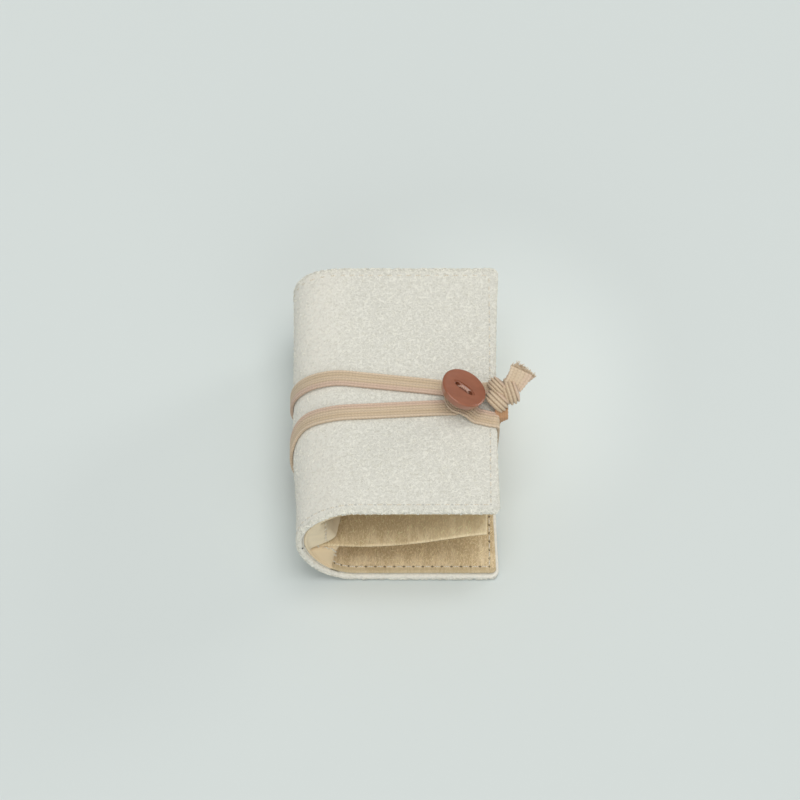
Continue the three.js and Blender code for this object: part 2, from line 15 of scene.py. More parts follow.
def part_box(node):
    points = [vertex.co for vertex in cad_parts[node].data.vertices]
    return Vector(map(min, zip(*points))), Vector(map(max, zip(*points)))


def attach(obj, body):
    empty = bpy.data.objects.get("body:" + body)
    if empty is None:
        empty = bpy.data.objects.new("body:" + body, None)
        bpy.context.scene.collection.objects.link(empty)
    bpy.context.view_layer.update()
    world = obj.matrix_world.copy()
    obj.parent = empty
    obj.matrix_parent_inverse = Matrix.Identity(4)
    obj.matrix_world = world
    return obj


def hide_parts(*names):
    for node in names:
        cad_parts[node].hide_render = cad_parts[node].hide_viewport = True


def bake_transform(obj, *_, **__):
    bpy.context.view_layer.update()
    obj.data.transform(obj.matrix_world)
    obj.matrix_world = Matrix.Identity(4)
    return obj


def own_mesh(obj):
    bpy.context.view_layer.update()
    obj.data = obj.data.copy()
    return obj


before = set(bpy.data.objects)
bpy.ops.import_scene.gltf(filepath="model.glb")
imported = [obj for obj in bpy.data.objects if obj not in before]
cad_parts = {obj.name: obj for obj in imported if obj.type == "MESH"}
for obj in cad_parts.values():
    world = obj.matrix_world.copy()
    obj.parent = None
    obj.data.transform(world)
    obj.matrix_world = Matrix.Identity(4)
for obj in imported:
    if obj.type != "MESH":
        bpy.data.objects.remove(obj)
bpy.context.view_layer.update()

bl_info = {
    "name": "Needle book",
    "version": (1, 0, 0),
    "blender": (4, 5, 0),
    "location": "3D View > Sidebar > Needle Book",
    "description": "Cloth, felt, button and elastic of a needle book",
    "category": "Object",
}

MM = 0.001
SEED = 7

# Edges of the cloths that turn by more than this many degrees are drawn sharp
SHARP = 75

# The closed book, from the frame: the cover's corners, and the round of the spine
FORE_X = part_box("front_cover")[1].x / MM
HALF_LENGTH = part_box("front_cover")[1].y / MM
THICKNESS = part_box("front_cover")[1].z / MM
SPINE_RADIUS = THICKNESS / 2
SPINE_X = SPINE_RADIUS - FORE_X
HALF_ROUND = math.pi * SPINE_RADIUS / 2
COVER_CORNER = 2.5
FORE_EDGE_BOW = 1

# Depths of the layers below the outer face
INTERLINING_DEPTH = 1.95
LINING_DEPTH = 2.35
INNER_DEPTH = 3.6
LINING_INSET = 0.9
INTERLINING_INSET = 1.3

# Seams, from the edges of the outer cloth
SEAM_INSET = 2.8
FORE_SEAM_INSET = 2
STITCH_PITCH = 3.0

# Half a stiff part of the spine in degrees, the angles at which the strips of cloth meet, and
# the stiff parts' bodies from the back to the front
HALF_PART = 18
BORDERS = [HALF_PART * (2 * k + 1) for k in range(5)]
BODIES = ["back", "spine_1", "spine_2", "spine_3", "spine_4", "spine_5", "front"]


def length(name, text, size):
    """Length property, written in millimetres"""
    return FloatProperty(name=name, description=text, default=size * MM, unit="LENGTH")


class ClothSizes(bpy.types.PropertyGroup):
    """Thicknesses and surface of the cloths"""

    outer: length("Outer cloth", "Thickness of the outer cloth", 1.9)
    lining: length("Lining", "Thickness of the linings", 1.25)
    interlining: length("Interlining", "Thickness of the interlining", 0.35)
    grain: length("Grain", "Spacing of the points that shape the cloth", 0.42)
    relief: length("Relief", "Height of the curls in the outer cloth", 0.15)
    curls: FloatProperty(name="Yarn loops", description="Loose yarn loops on a square millimetre",
                         default=0.62, min=0, max=1)


class BandSizes(bpy.types.PropertyGroup):
    """Sizes of the braided elastic"""

    thickness: length("Thickness", "Thickness of the elastic", 1.0)
    ribs: IntProperty(name="Ribs", description="Lengthwise ribs", default=6, min=2, max=10)


class ButtonSizes(bpy.types.PropertyGroup):
    """Sizes of the button and its thread"""

    radius: length("Radius", "Radius of the button", 7.5)
    thickness: length("Thickness", "Thickness of the button", 3.0)
    rim: length("Rim", "Rounding of the rim", 0.5)
    spacing: length("Hole spacing", "Distance between the two holes", 4.6)
    hole: length("Hole radius", "Radius of a hole", 0.95)


def colour(name, value):
    """Colour property, written as sRGB and held as linear"""
    linear = [(c / 12.92) if c <= 0.04045 else ((c + 0.055) / 1.055) ** 2.4 for c in value]
    return FloatVectorProperty(name=name, description=f"Colour of the {name.lower()}",
                               subtype="COLOR", size=3, default=linear, min=0, max=1)


class Finishes(bpy.types.PropertyGroup):
    """Colours of the materials"""

    cloth: colour("Outer cloth", (0.850, 0.846, 0.808))
    interlining: colour("Interlining", (0.937, 0.929, 0.902))
    lining: colour("Lining", (0.900, 0.822, 0.680))
    spine_lining: colour("Spine lining", (0.892, 0.828, 0.708))
    felt: colour("Felt leaf", (0.938, 0.858, 0.708))
    thread: colour("Seam thread", (0.885, 0.852, 0.780))
    elastic: colour("Elastic", (0.812, 0.739, 0.650))
    button: colour("Button", (0.580, 0.335, 0.225))
    button_thread: colour("Button thread", (0.800, 0.640, 0.560))
    floor: colour("Floor", (0.828, 0.856, 0.850))


class StageSizes(bpy.types.PropertyGroup):
    """Camera, floor and light"""

    elevation: FloatProperty(name="Elevation", description="Camera's angle above the floor",
                             default=math.radians(59.8), subtype="ANGLE")
    distance: FloatProperty(name="Distance", description="Camera's distance from its target",
                            default=1.825, unit="LENGTH")
    target: FloatVectorProperty(name="Target", description="Point at the middle of the image",
                                subtype="TRANSLATION", default=(0.0013, 0.0090, 0.020))
    lens: FloatProperty(name="Lens", description="Focal length in millimetres", default=258.9)
    floor_size: FloatProperty(name="Floor", description="Side of the floor", default=8.0,
                              unit="LENGTH")
    above: FloatProperty(name="Above", description="Strength of the light from above",
                         default=1.40)
    front: FloatProperty(name="Front", description="Strength of the light from the front",
                         default=1.10)
    glint: FloatProperty(name="Glint", description="Strength of the low light from the right",
                         default=0.6)
    sky: FloatProperty(name="Sky", description="Strength of the light from all around",
                       default=0.32)


GROUPS = {"nb_cloth": ClothSizes, "nb_band": BandSizes, "nb_button": ButtonSizes,
          "nb_finishes": Finishes, "nb_stage": StageSizes}


# Shader maths

class Value:
    """A socket in a material, with Python's own sums on it"""

    def __init__(self, made, socket):
        self.made = made
        self.socket = socket

    def _sum(self, operation, *values):
        return self.made.sums(operation, *values)

    def __add__(self, other):
        return self._sum("ADD", self, other)

    def __radd__(self, other):
        return self._sum("ADD", other, self)

    def __sub__(self, other):
        return self._sum("SUBTRACT", self, other)

    def __rsub__(self, other):
        return self._sum("SUBTRACT", other, self)

    def __mul__(self, other):
        return self._sum("MULTIPLY", self, other)

    def __rmul__(self, other):
        return self._sum("MULTIPLY", other, self)

    def __truediv__(self, other):
        return self._sum("DIVIDE", self, other)

    def __pow__(self, other):
        return self._sum("POWER", self, other)

    def __abs__(self):
        return self._sum("ABSOLUTE", self)

    def __getitem__(self, name):
        return Value(self.made, self.socket.node.outputs[name])


SOCKETS = {"sheen": "Sheen Weight", "sheen_roughness": "Sheen Roughness",
           "coat": "Coat Weight", "coat_roughness": "Coat Roughness",
           "specular": "Specular IOR Level"}


class Finish:
    """A material and the nodes that it is built from"""

    def __init__(self, name, roughness, **fixed):
        self.material = bpy.data.materials.get(name) or bpy.data.materials.new(name)
        self.material.use_nodes = True
        self.tree = self.material.node_tree
        self.tree.nodes.clear()
        self.shader = self.tree.nodes.new("ShaderNodeBsdfPrincipled")
        output = self.tree.nodes.new("ShaderNodeOutputMaterial")
        self.tree.links.new(self.shader.outputs[0], output.inputs[0])
        self.shader.inputs["Roughness"].default_value = roughness
        for socket, value in fixed.items():
            self.shader.inputs[SOCKETS[socket]].default_value = value

    def node(self, kind, settings, *values, **named):
        """Node of a kind, with its settings, then the values or links of its sockets"""
        made = self.tree.nodes.new(kind)
        for key, setting in settings.items():
            if key == "stops":
                ramp = made.color_ramp
                while len(ramp.elements) < len(setting):
                    ramp.elements.new(0.5)
                for element, (place, shade) in zip(ramp.elements, setting):
                    element.position = place
                    element.color = (*shade, 1)
            else:
                setattr(made, key, setting)
        sockets = [(made.inputs[index], value) for index, value in enumerate(values)]
        sockets += [(made.inputs[key.replace("_", " ")], value) for key, value in named.items()]
        for socket, value in sockets:
            if isinstance(value, Value):
                self.tree.links.new(value.socket, socket)
            elif value is not None:
                socket.default_value = value
        shown = [output for output in made.outputs if output.enabled]
        return Value(self, shown[0])

    def sums(self, operation, *values):
        """Result of one sum"""
        return self.node("ShaderNodeMath", {"operation": operation}, *values)

    def place(self):
        """The piece's own coordinates, in millimetres, which follow its surface"""
        return self.node("ShaderNodeAttribute", {"attribute_name": "cloth"})["Vector"]

    def parts(self, vector):
        """The three numbers of a vector"""
        split = self.node("ShaderNodeSeparateXYZ", {}, vector)
        return split["X"], split["Y"], split["Z"]

    def scaled(self, vector, scale):
        """A vector, multiplied part by part"""
        return self.node("ShaderNodeVectorMath", {"operation": "MULTIPLY"}, vector, scale)

    def noise(self, vector, scale, detail=3.0, roughness=0.55):
        """Soft noise from 0 to 1"""
        return self.node("ShaderNodeTexNoise", {}, Vector=vector, Scale=scale, Detail=detail,
                         Roughness=roughness)

    def ramp(self, value, low, high):
        """0 below low, 1 above high, and smooth between"""
        return self.node("ShaderNodeMapRange", {"interpolation_type": "SMOOTHSTEP"},
                         Value=value, From_Min=low, From_Max=high)

    def mix(self, factor, first, second):
        """Two colours mixed by a factor"""
        made = self.tree.nodes.new("ShaderNodeMix")
        made.data_type = "RGBA"
        for socket, value in zip((made.inputs[0], made.inputs[6], made.inputs[7]),
                                 (factor, first, second)):
            if isinstance(value, Value):
                self.tree.links.new(value.socket, socket)
            else:
                socket.default_value = value
        return Value(self, made.outputs[2])

    def paint(self, colour, roughness=None):
        """Links a varying colour, and roughness where given, to the shader"""
        self.tree.links.new(colour.socket, self.shader.inputs["Base Color"])
        if roughness is not None:
            self.tree.links.new(roughness.socket, self.shader.inputs["Roughness"])

    def bump(self, height, distance, strength=1.0):
        """Links a height in millimetres to the shader's normal"""
        made = self.node("ShaderNodeBump", {}, Strength=strength, Distance=distance * MM,
                         Height=height)
        self.tree.links.new(made.socket, self.shader.inputs["Normal"])


def shade(base, factor):
    """A colour made lighter or darker by a factor, with alpha"""
    return (*[min(1.0, max(0.0, c * factor)) for c in base], 1)


def finish_colour(name):
    return tuple(getattr(bpy.context.scene.nb_finishes, name))


def seam_holes(made, place, radius, shown_at):
    """1 in the needle holes of the seams, from distances along and across them"""
    s, y, depth = made.parts(place)
    tail = HALF_LENGTH - SEAM_INSET
    fore = HALF_ROUND + FORE_X - FORE_EDGE_BOW - FORE_SEAM_INSET - SPINE_X
    step = STITCH_PITCH

    def dots(along, across):
        phase = made.sums("PINGPONG", along, step / 2)
        reach = made.sums("SQRT", 
                          phase * phase * 0.55 + across * across)
        return 1 - made.ramp(reach, radius * 0.55, radius * 1.35)

    ends = dots(abs(s) - fore + STITCH_PITCH * 50, abs(y) - tail)
    inside = 1 - made.ramp(abs(s), fore + 0.2, fore + 0.4)
    side = dots(y + tail + STITCH_PITCH * 50, abs(s) - fore)
    within = 1 - made.ramp(abs(y), tail + 0.2, tail + 0.4)
    both = made.sums("MAXIMUM", ends * inside, side * within)
    return both * shown_at


def squiggles(made, place, shift, scale):
    """Short curly lines, 1 along their middles"""
    moved = made.node("ShaderNodeVectorMath", {"operation": "ADD"}, place, shift)
    line = 1 - made.ramp(abs(made.noise(moved, scale, 1.0, 0.5) - 0.5), 0.025, 0.075)
    return line * made.ramp(made.noise(moved, scale * 1.4, 1.0, 0.5), 0.44, 0.54)


def boucle_finish():
    """Off-white curled wool: pale curls and loose loops on a greyer ground, with a soft sheen"""
    made = Finish("boucle_wool", 0.95, sheen=0.2, sheen_roughness=0.5, specular=0.12)
    base = finish_colour("cloth")
    place = made.place()
    s, y, depth = made.parts(place)
    tint = made.noise(place, 0.035, 2.0)
    pits = made.noise(place, 1.0, 2.0, 0.6)
    fibre = made.noise(place, 5.5, 3.0, 0.7)
    # Painted light: the round of the spine is painted lighter, and a little rosier, standing in
    # for light on that side
    rosy = (base[0] * 0.985, base[1] * 0.961, base[2] * 0.955)
    round_spine = 1 - made.ramp(s, HALF_ROUND * 0.35, HALF_ROUND * 1.1)
    flat = made.mix(made.ramp(tint, 0.35, 0.65), shade(base, 0.975), shade(base, 1.0))
    painted_light = made.mix(round_spine, flat, shade(rosy, 1.22))
    # Painted shade in the hollows between the curls, painted lighter too on the round of the spine
    pit_shade = made.mix(round_spine, (base[0] * 0.885, base[1] * 0.88, base[2] * 0.865, 1),
                    shade(rosy, 1.09))
    pitted = made.mix(made.ramp(pits, 0.36, 0.52), pit_shade, painted_light)
    # Pale curly lines: painted light on the curls
    curls = made.sums("MAXIMUM", 
                      squiggles(made, place, (0, 0, 0), 0.62),
                      squiggles(made, place, (31, 17, 5), 0.85))
    lifted = made.mix(curls * 0.9, pitted, shade(base, 1.16))
    # Loose loops, painted lighter than the cloth: painted light on them
    loose = made.ramp(0 - depth, 0.8, 1.0)
    loops = made.mix(made.ramp(0 - depth, 1.2, 3.0), shade(base, 1.06), shade(base, 1.28))
    # Painted shade in the needle holes of the seams
    holes = seam_holes(made, place, 0.30, 0.5) * made.ramp(0 - y, -35.0, -30.0)
    made.paint(made.mix(loose, made.mix(holes, lifted, shade(base, 0.5)), loops))
    made.bump(curls * 0.6 + pits * 0.5 + fibre * 0.35, 0.2, 0.6)
    return made.material


def interlining_finish():
    """White bonded wadding"""
    made = Finish("interlining_wadding", 0.95, sheen=0.2)
    base = finish_colour("interlining")
    place = made.place()
    fibre = made.noise(made.scaled(place, (1, 0.4, 1)), 1.6, 4.0, 0.7)
    made.paint(made.mix(fibre, shade(base, 0.9), shade(base, 1.0)))
    made.bump(fibre, 0.15, 0.5)
    return made.material


def felt_finish(name, key, seams):
    """Brushed felt: nap combed along the book, flecks and loose fibres"""
    made = Finish(name, 0.95, sheen=0.22, sheen_roughness=0.6, specular=0.12)
    base = finish_colour(key)
    place = made.place()
    s, y, depth = made.parts(place)
    streak = made.noise(made.scaled(place, (1.0, 0.16, 0.0)), 0.9, 4.0, 0.65)
    clump = made.noise(made.scaled(place, (1.0, 0.5, 0.0)), 0.16, 3.0, 0.6)
    fuzz = made.noise(made.scaled(place, (1.0, 0.40, 0.0)), 2.6, 4.0, 0.75)
    dark = (base[0] * 0.74, base[1] * 0.69, base[2] * 0.60)
    light = (base[0] * 1.20, base[1] * 1.22, base[2] * 1.26)
    # Painted shade: darker deeper inside the book, away from its ends
    deep = made.ramp(HALF_LENGTH - abs(y), 4.0, 13.0) * 0.14
    body = made.mix(made.ramp(clump * 0.5 + streak * 0.5 - deep, 0.40, 0.58), shade(dark, 1.0),
                    shade(base, 1.0))
    tips = made.mix(made.ramp(fuzz, 0.50, 0.68), body, shade(light, 1.0))
    shadows = made.mix(made.ramp(0 - fuzz, -0.46, -0.32), tips, shade(dark, 0.85))
    relief = streak * 0.6 + fuzz * 0.8
    if seams:
        margin = made.ramp(abs(y), HALF_LENGTH - SEAM_INSET + 0.1, HALF_LENGTH - SEAM_INSET + 0.7)
        shadows = made.mix(margin * 0.6, shadows,
                           (base[0] * 0.62, base[1] * 0.61, base[2] * 0.56, 1))
        # Painted shade in the needle holes of the seams
        holes = seam_holes(made, place, 0.34, 0.9)
        shadows = made.mix(holes, shadows, shade(base, 0.16))
        relief = relief * (1 - margin * 0.3)
    else:
        # Painted light on the leaf towards its fore-edge, and painted shade nearer its root, under
        # the front cover
        painted_light = made.ramp(s, 26.0, 50.0)
        shadows = made.mix(painted_light * 0.32, shadows, shade(light, 1.0))
        shadows = made.mix((1 - painted_light) * 0.2, shadows, shade(dark, 0.8))
    loose = made.ramp(0 - depth, 0.8, 1.0)
    fibres = made.mix(made.ramp(0 - depth, 1.0, 3.0), shade(dark, 1.2), shade(light, 1.15))
    made.paint(made.mix(loose, shadows, fibres))
    made.bump(relief, 0.35, 0.7)
    return made.material


def spine_lining_finish():
    """Smooth flat-woven lining"""
    made = Finish("spine_lining_cotton", 0.85, sheen=0.15, specular=0.2)
    base = finish_colour("spine_lining")
    place = made.place()
    s, y, depth = made.parts(place)
    warp = made.sums("SINE", s * 13.0)
    weft = made.sums("SINE", y * 13.0)
    cloudy = made.noise(place, 0.25, 3.0, 0.6)
    fuzz = made.noise(place, 4.0, 3.0, 0.7)
    body = made.mix(made.ramp(cloudy, 0.3, 0.7), shade(base, 0.95), shade(base, 1.03))
    low = 1 - made.ramp(s, spine_at(78), spine_at(84))
    body = made.mix(low, body, (base[0] * 0.97, base[1] * 0.90, base[2] * 0.82, 1))
    # Painted shade in the needle holes of the seams
    holes = seam_holes(made, place, 0.30, 0.35)
    made.paint(made.mix(holes, body, shade(base, 0.5)))
    made.bump(warp * weft * 0.5 + fuzz * 0.5, 0.06, 0.6)
    return made.material


def thread_finish(name, key):
    """Spun thread, two plies twisted together"""
    made = Finish(name, 0.6, sheen=0.15)
    base = finish_colour(key)
    along, across, _ = made.parts(made.place())
    ply = made.sums("SINE", along * 9.0 + across * 2.0)
    made.paint(made.mix(made.ramp(ply, -1.0, 0.6), shade(base, 0.78), shade(base, 1.05)))
    made.bump(ply, 0.06, 0.7)
    return made.material


def elastic_finish():
    """Braided elastic: ribs of tan, cream and pinkish yarn, browner where it is turned under"""
    made = Finish("braided_elastic", 0.8, sheen=0.2, specular=0.2)
    base = finish_colour("elastic")
    along, across, under = made.parts(made.place())
    cream = (base[0] * 1.12, base[1] * 1.12, base[2] * 1.10)
    pink = (base[0] * 1.03, base[1] * 0.93, base[2] * 0.98)
    tan = (base[0] * 0.97, base[1] * 0.94, base[2] * 0.84)
    # Colour of the painted brown shade where the elastic turns under
    brown = (base[0] * 0.80, base[1] * 0.52, base[2] * 0.33)
    ribs = made.node("ShaderNodeValToRGB",
                     {"stops": [(0.0, cream), (0.12, cream), (0.22, tan), (0.42, tan),
                                (0.5, cream), (0.62, tan), (0.80, pink), (1.0, pink)]},
                     across * 0.5 + 0.5)
    groove = made.sums("COSINE", across * 6 * math.pi)
    slant = made.sums("PINGPONG", across * 6 + 6, 1.0)
    braid = made.sums("SINE", along * 6.2 + slant * 3.4)
    fuzz = made.noise(made.node("ShaderNodeCombineXYZ", {}, along, across * 2.8, 0.0), 2.4, 3.0)
    # At a third coordinate of -1, in the knot, the grooves' painted shade is deeper
    tight = made.ramp(0 - under, 0.5, 1.0)
    # Painted shade in the grooves between the ribs
    hollow = (base[0] * 0.46, base[1] * 0.36, base[2] * 0.27, 1)
    deep = made.mix(made.ramp(groove, 0.1, 0.9) * (tight * 0.40 + 0.33), ribs, hollow)
    woven = made.mix(made.ramp(braid, 0.1, 1.0) * 0.28, deep, shade(tan, 0.66))
    body = made.mix(made.ramp(fuzz, 0.3, 0.75) * 0.35, woven, shade(cream, 1.08))
    pale = made.ramp(0 - under, 0.1, 0.4) * 0.4 - tight * 0.3
    drawn = made.mix(pale, body, shade(cream, 1.15))
    # Painted brown shade where the elastic turns under, on its last stretch up to the knot
    made.paint(made.mix(made.ramp(under, 0.0, 1.0) * 0.85, drawn, shade(brown, 1.0)))
    made.bump(braid * 0.5 + fuzz * 0.9, 0.12, 0.8)
    return made.material


def button_finish():
    """Red-brown nut button, polished, with a soft grain"""
    made = Finish("button_nut", 0.34, coat=0.9, coat_roughness=0.12, specular=0.4)
    base = finish_colour("button")
    place = made.node("ShaderNodeTexCoord", {})["Object"]
    grain = made.noise(made.scaled(place, (220, 620, 220)), 1.0, 4.0, 0.6)
    cloudy = made.noise(place, 160, 2.0)
    body = made.mix(made.ramp(grain, 0.3, 0.7), shade(base, 0.90), shade(base, 1.06))
    made.paint(made.mix(cloudy * 0.4, body, shade((base[0] * 0.95, base[1] * 1.1, base[2]), 1.0)),
               made.ramp(grain, 0.2, 0.8) * 0.12 + 0.30)
    made.bump(grain, 0.02, 0.4)
    return made.material


FINISHES = {}


def finish(name):
    """Material by name, made the first time it is asked for"""
    makers = {
        "boucle": boucle_finish,
        "interlining": interlining_finish,
        "lining": lambda: felt_finish("lining_felt", "lining", True),
        "felt": lambda: felt_finish("leaf_felt", "felt", False),
        "spine_lining": spine_lining_finish,
        "seam_thread": lambda: thread_finish("seam_thread", "thread"),
        "button_thread": lambda: thread_finish("button_thread", "button_thread"),
        "elastic": elastic_finish,
        "button": button_finish,
    }
    if name not in FINISHES:
        FINISHES[name] = makers[name]()
    return FINISHES[name]


# Meshes

class Parts:
    """Points, faces and own coordinates of a mesh, gathered part by part"""

    def __init__(self):
        self.points = []
        self.places = []
        self.faces = []
        self.count = 0

    def add(self, points, places, faces):
        """Adds points with their own coordinates, and faces that number them from 0"""
        start = self.count
        self.points.append(np.asarray(points, float).reshape(-1, 3))
        self.places.append(np.asarray(places, float).reshape(-1, 3))
        self.faces += [[start + k for k in face] for face in faces]
        self.count += len(self.points[-1])
        return start

    def piece(self, name, material, slot=None, replaces=(), smooth=180):
        """The parts as one object, smooth but for edges sharper than an angle in degrees"""
        points = np.concatenate(self.points) * MM
        mesh = bpy.data.meshes.new(name)
        mesh.from_pydata(points.tolist(), [], self.faces)
        mesh.validate()
        places = mesh.attributes.new("cloth", "FLOAT_VECTOR", "POINT")
        places.data.foreach_set("vector", np.concatenate(self.places).astype(np.float32).ravel())
        mesh.polygons.foreach_set("use_smooth", [True] * len(mesh.polygons))
        mesh.materials.append(finish(material))
        made = bpy.data.objects.new(name, mesh)
        bpy.context.scene.collection.objects.link(made)
        if smooth < 180:
            only(made)
            bpy.ops.object.shade_smooth_by_angle(angle=math.radians(smooth))
        if replaces:
            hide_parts(*replaces)
        return made


def grid_faces(rows, columns, flip=False, wrap=False):
    """Quads of a grid of points, row by row"""
    i, j = np.meshgrid(np.arange(rows - 1), np.arange(columns if wrap else columns - 1),
                       indexing="ij")
    a = i * columns + j
    b = i * columns + (j + 1) % columns
    quads = np.stack([a, a + columns, b + columns, b], axis=-1).reshape(-1, 4)
    return (quads[:, ::-1] if flip else quads).tolist()


def tube_faces(stations, sides):
    """Faces of a closed tube whose rings turn from across to out as its stations advance"""
    last = (stations - 1) * sides
    faces = grid_faces(stations, sides, flip=True, wrap=True)
    faces.append(list(range(sides - 1, -1, -1)))
    faces.append(list(range(last, last + sides)))
    return faces


def unit(vectors):
    """Vectors at length 1"""
    return vectors / np.maximum(np.linalg.norm(vectors, axis=-1, keepdims=True), 1e-12)


def run_along(line, power=1):
    """Distance of each point along a line, or the sum of its steps to a power"""
    steps = np.linalg.norm(np.diff(line, axis=0), axis=1)
    return np.concatenate([[0], np.cumsum(steps ** power)])


def bridge(t, span, start, end, slope_in, slope_out):
    """Smooth value at share t of a span, from its ends and its slopes there"""
    return ((2 * t ** 3 - 3 * t ** 2 + 1) * start + (t ** 3 - 2 * t ** 2 + t) * span * slope_in
            + (3 * t ** 2 - 2 * t ** 3) * end + (t ** 3 - t ** 2) * span * slope_out)


def smooth_through(values, run, fine):
    """Values at fine distances, on a smooth curve through those at the run's distances"""
    slope = np.gradient(values, run, axis=0)
    index = np.clip(np.searchsorted(run, fine, side="right") - 1, 0, len(run) - 2)
    span = (run[index + 1] - run[index])[:, None]
    t = (fine - run[index])[:, None] / span
    return bridge(t, span, values[index], values[index + 1], slope[index], slope[index + 1])


def sweep(parts, at, across, out, section, run, side_places, under=0.0):
    """Tube along stations. section is stations x points x 2, along across and along out."""
    rings = (at[:, None, :] + section[..., 0:1] * across[:, None, :]
             + section[..., 1:2] * out[:, None, :])
    stations, sides = section.shape[:2]
    places = np.zeros((stations, sides, 3))
    places[..., 0] = run[:, None]
    places[..., 1] = side_places[None, :]
    places[..., 2] = np.broadcast_to(under, (stations,))[:, None]
    parts.add(rings, places, tube_faces(stations, sides))


# The book's profile. s is the distance round the outer face from the middle of the spine,
# below zero towards the back cover and above zero towards the front cover.

def ease(share):
    """0 below 0, 1 above 1, and smooth between"""
    share = np.clip(share, 0, 1)
    return share * share * (3 - 2 * share)


# How the limp cloth differs from a true half round: a squarer shoulder towards the head,
# a slacker foot towards the tail, and a front cover that has slid towards the head
SHOULDER = 2.9
SLUMP = 2.2
SLIDE = 1.5
SLIDE_TAPER = 0.6


def swell(s, y):
    """How far the spine stands out of a true half round"""
    turn = np.clip(s / HALF_ROUND, -1, 1)
    shoulder = SHOULDER * np.sin(math.pi * np.maximum(turn, 0)) ** 2
    slump = SLUMP * np.sin(math.pi * np.clip((turn + 1) / 1.5, 0, 1)) ** 2
    return ease((y + 5) / 45) * shoulder - ease((-y - 8) / 30) * slump


def on_book(s, y, depth):
    """Points, outward normals and directions of rising s, at a depth below the outer face"""
    s, y, depth = np.broadcast_arrays(*[np.asarray(v, float) for v in (s, y, depth)])
    turn = np.clip(s, -HALF_ROUND, HALF_ROUND) / SPINE_RADIUS
    flat = np.maximum(np.abs(s) - HALF_ROUND, 0)
    zero = np.zeros_like(turn)
    normal = np.stack([-np.cos(turn), zero, np.sin(turn)], axis=-1)
    along = np.stack([np.sin(turn), zero, np.cos(turn)], axis=-1)
    slid = y + ease(s / HALF_ROUND) * (SLIDE - SLIDE_TAPER * y / HALF_LENGTH)
    middle = np.stack([SPINE_X + flat, slid, zero + SPINE_RADIUS], axis=-1)
    reach = SPINE_RADIUS - depth + swell(s, y)
    return middle + normal * reach[..., None], normal, along


def spine_at(degrees):
    """Distance s of an angle on the spine, counted from the back cover"""
    return math.radians(degrees - 90) * SPINE_RADIUS


def edge_corner(inset):
    return max(COVER_CORNER - inset, COVER_CORNER / 3)


def fore_edge(y, inset):
    """Distance |s| of the fore-edge of a cover's layer"""
    corner = edge_corner(inset)
    straight = HALF_LENGTH - inset - corner
    share = np.clip((y / straight + 1) / 2, 0, 1)
    bow = 4 * FORE_EDGE_BOW * share * (1 - share)
    past = np.clip(np.abs(y) - straight, 0, corner)
    round_in = corner - np.sqrt(np.maximum(corner ** 2 - past ** 2, 0))
    return HALF_ROUND + FORE_X - SPINE_X - inset - bow - round_in


def edge_distance(s, y, inset, free):
    """Distance from a layer's free edges, and the direction out to the nearest, in s and y"""
    corner = edge_corner(inset)
    straight = HALF_LENGTH - inset - corner
    to_end = HALF_LENGTH - inset - np.abs(y)
    out_s = np.zeros_like(s)
    out_y = np.sign(y)
    if not free:
        return to_end, out_s, out_y
    side = np.sign(s)
    to_fore = fore_edge(np.clip(y, -straight, straight), inset) - np.abs(s)
    nearer = to_fore < to_end
    distance = np.where(nearer, to_fore, to_end)
    out_s = np.where(nearer, side, 0.0)
    out_y = np.where(nearer, 0.0, out_y)
    centre = HALF_ROUND + FORE_X - SPINE_X - inset - corner
    along, up = np.abs(s) - centre, np.abs(y) - straight
    cornered = (along > 0) & (up > 0)
    reach = np.maximum(np.hypot(along, up), 1e-9)
    distance = np.where(cornered, corner - reach, distance)
    out_s = np.where(cornered, side * along / reach, out_s)
    out_y = np.where(cornered, np.sign(y) * up / reach, out_y)
    return np.maximum(distance, 0), out_s, out_y


RIM_TURNS = np.linspace(0, math.pi / 2, 6)


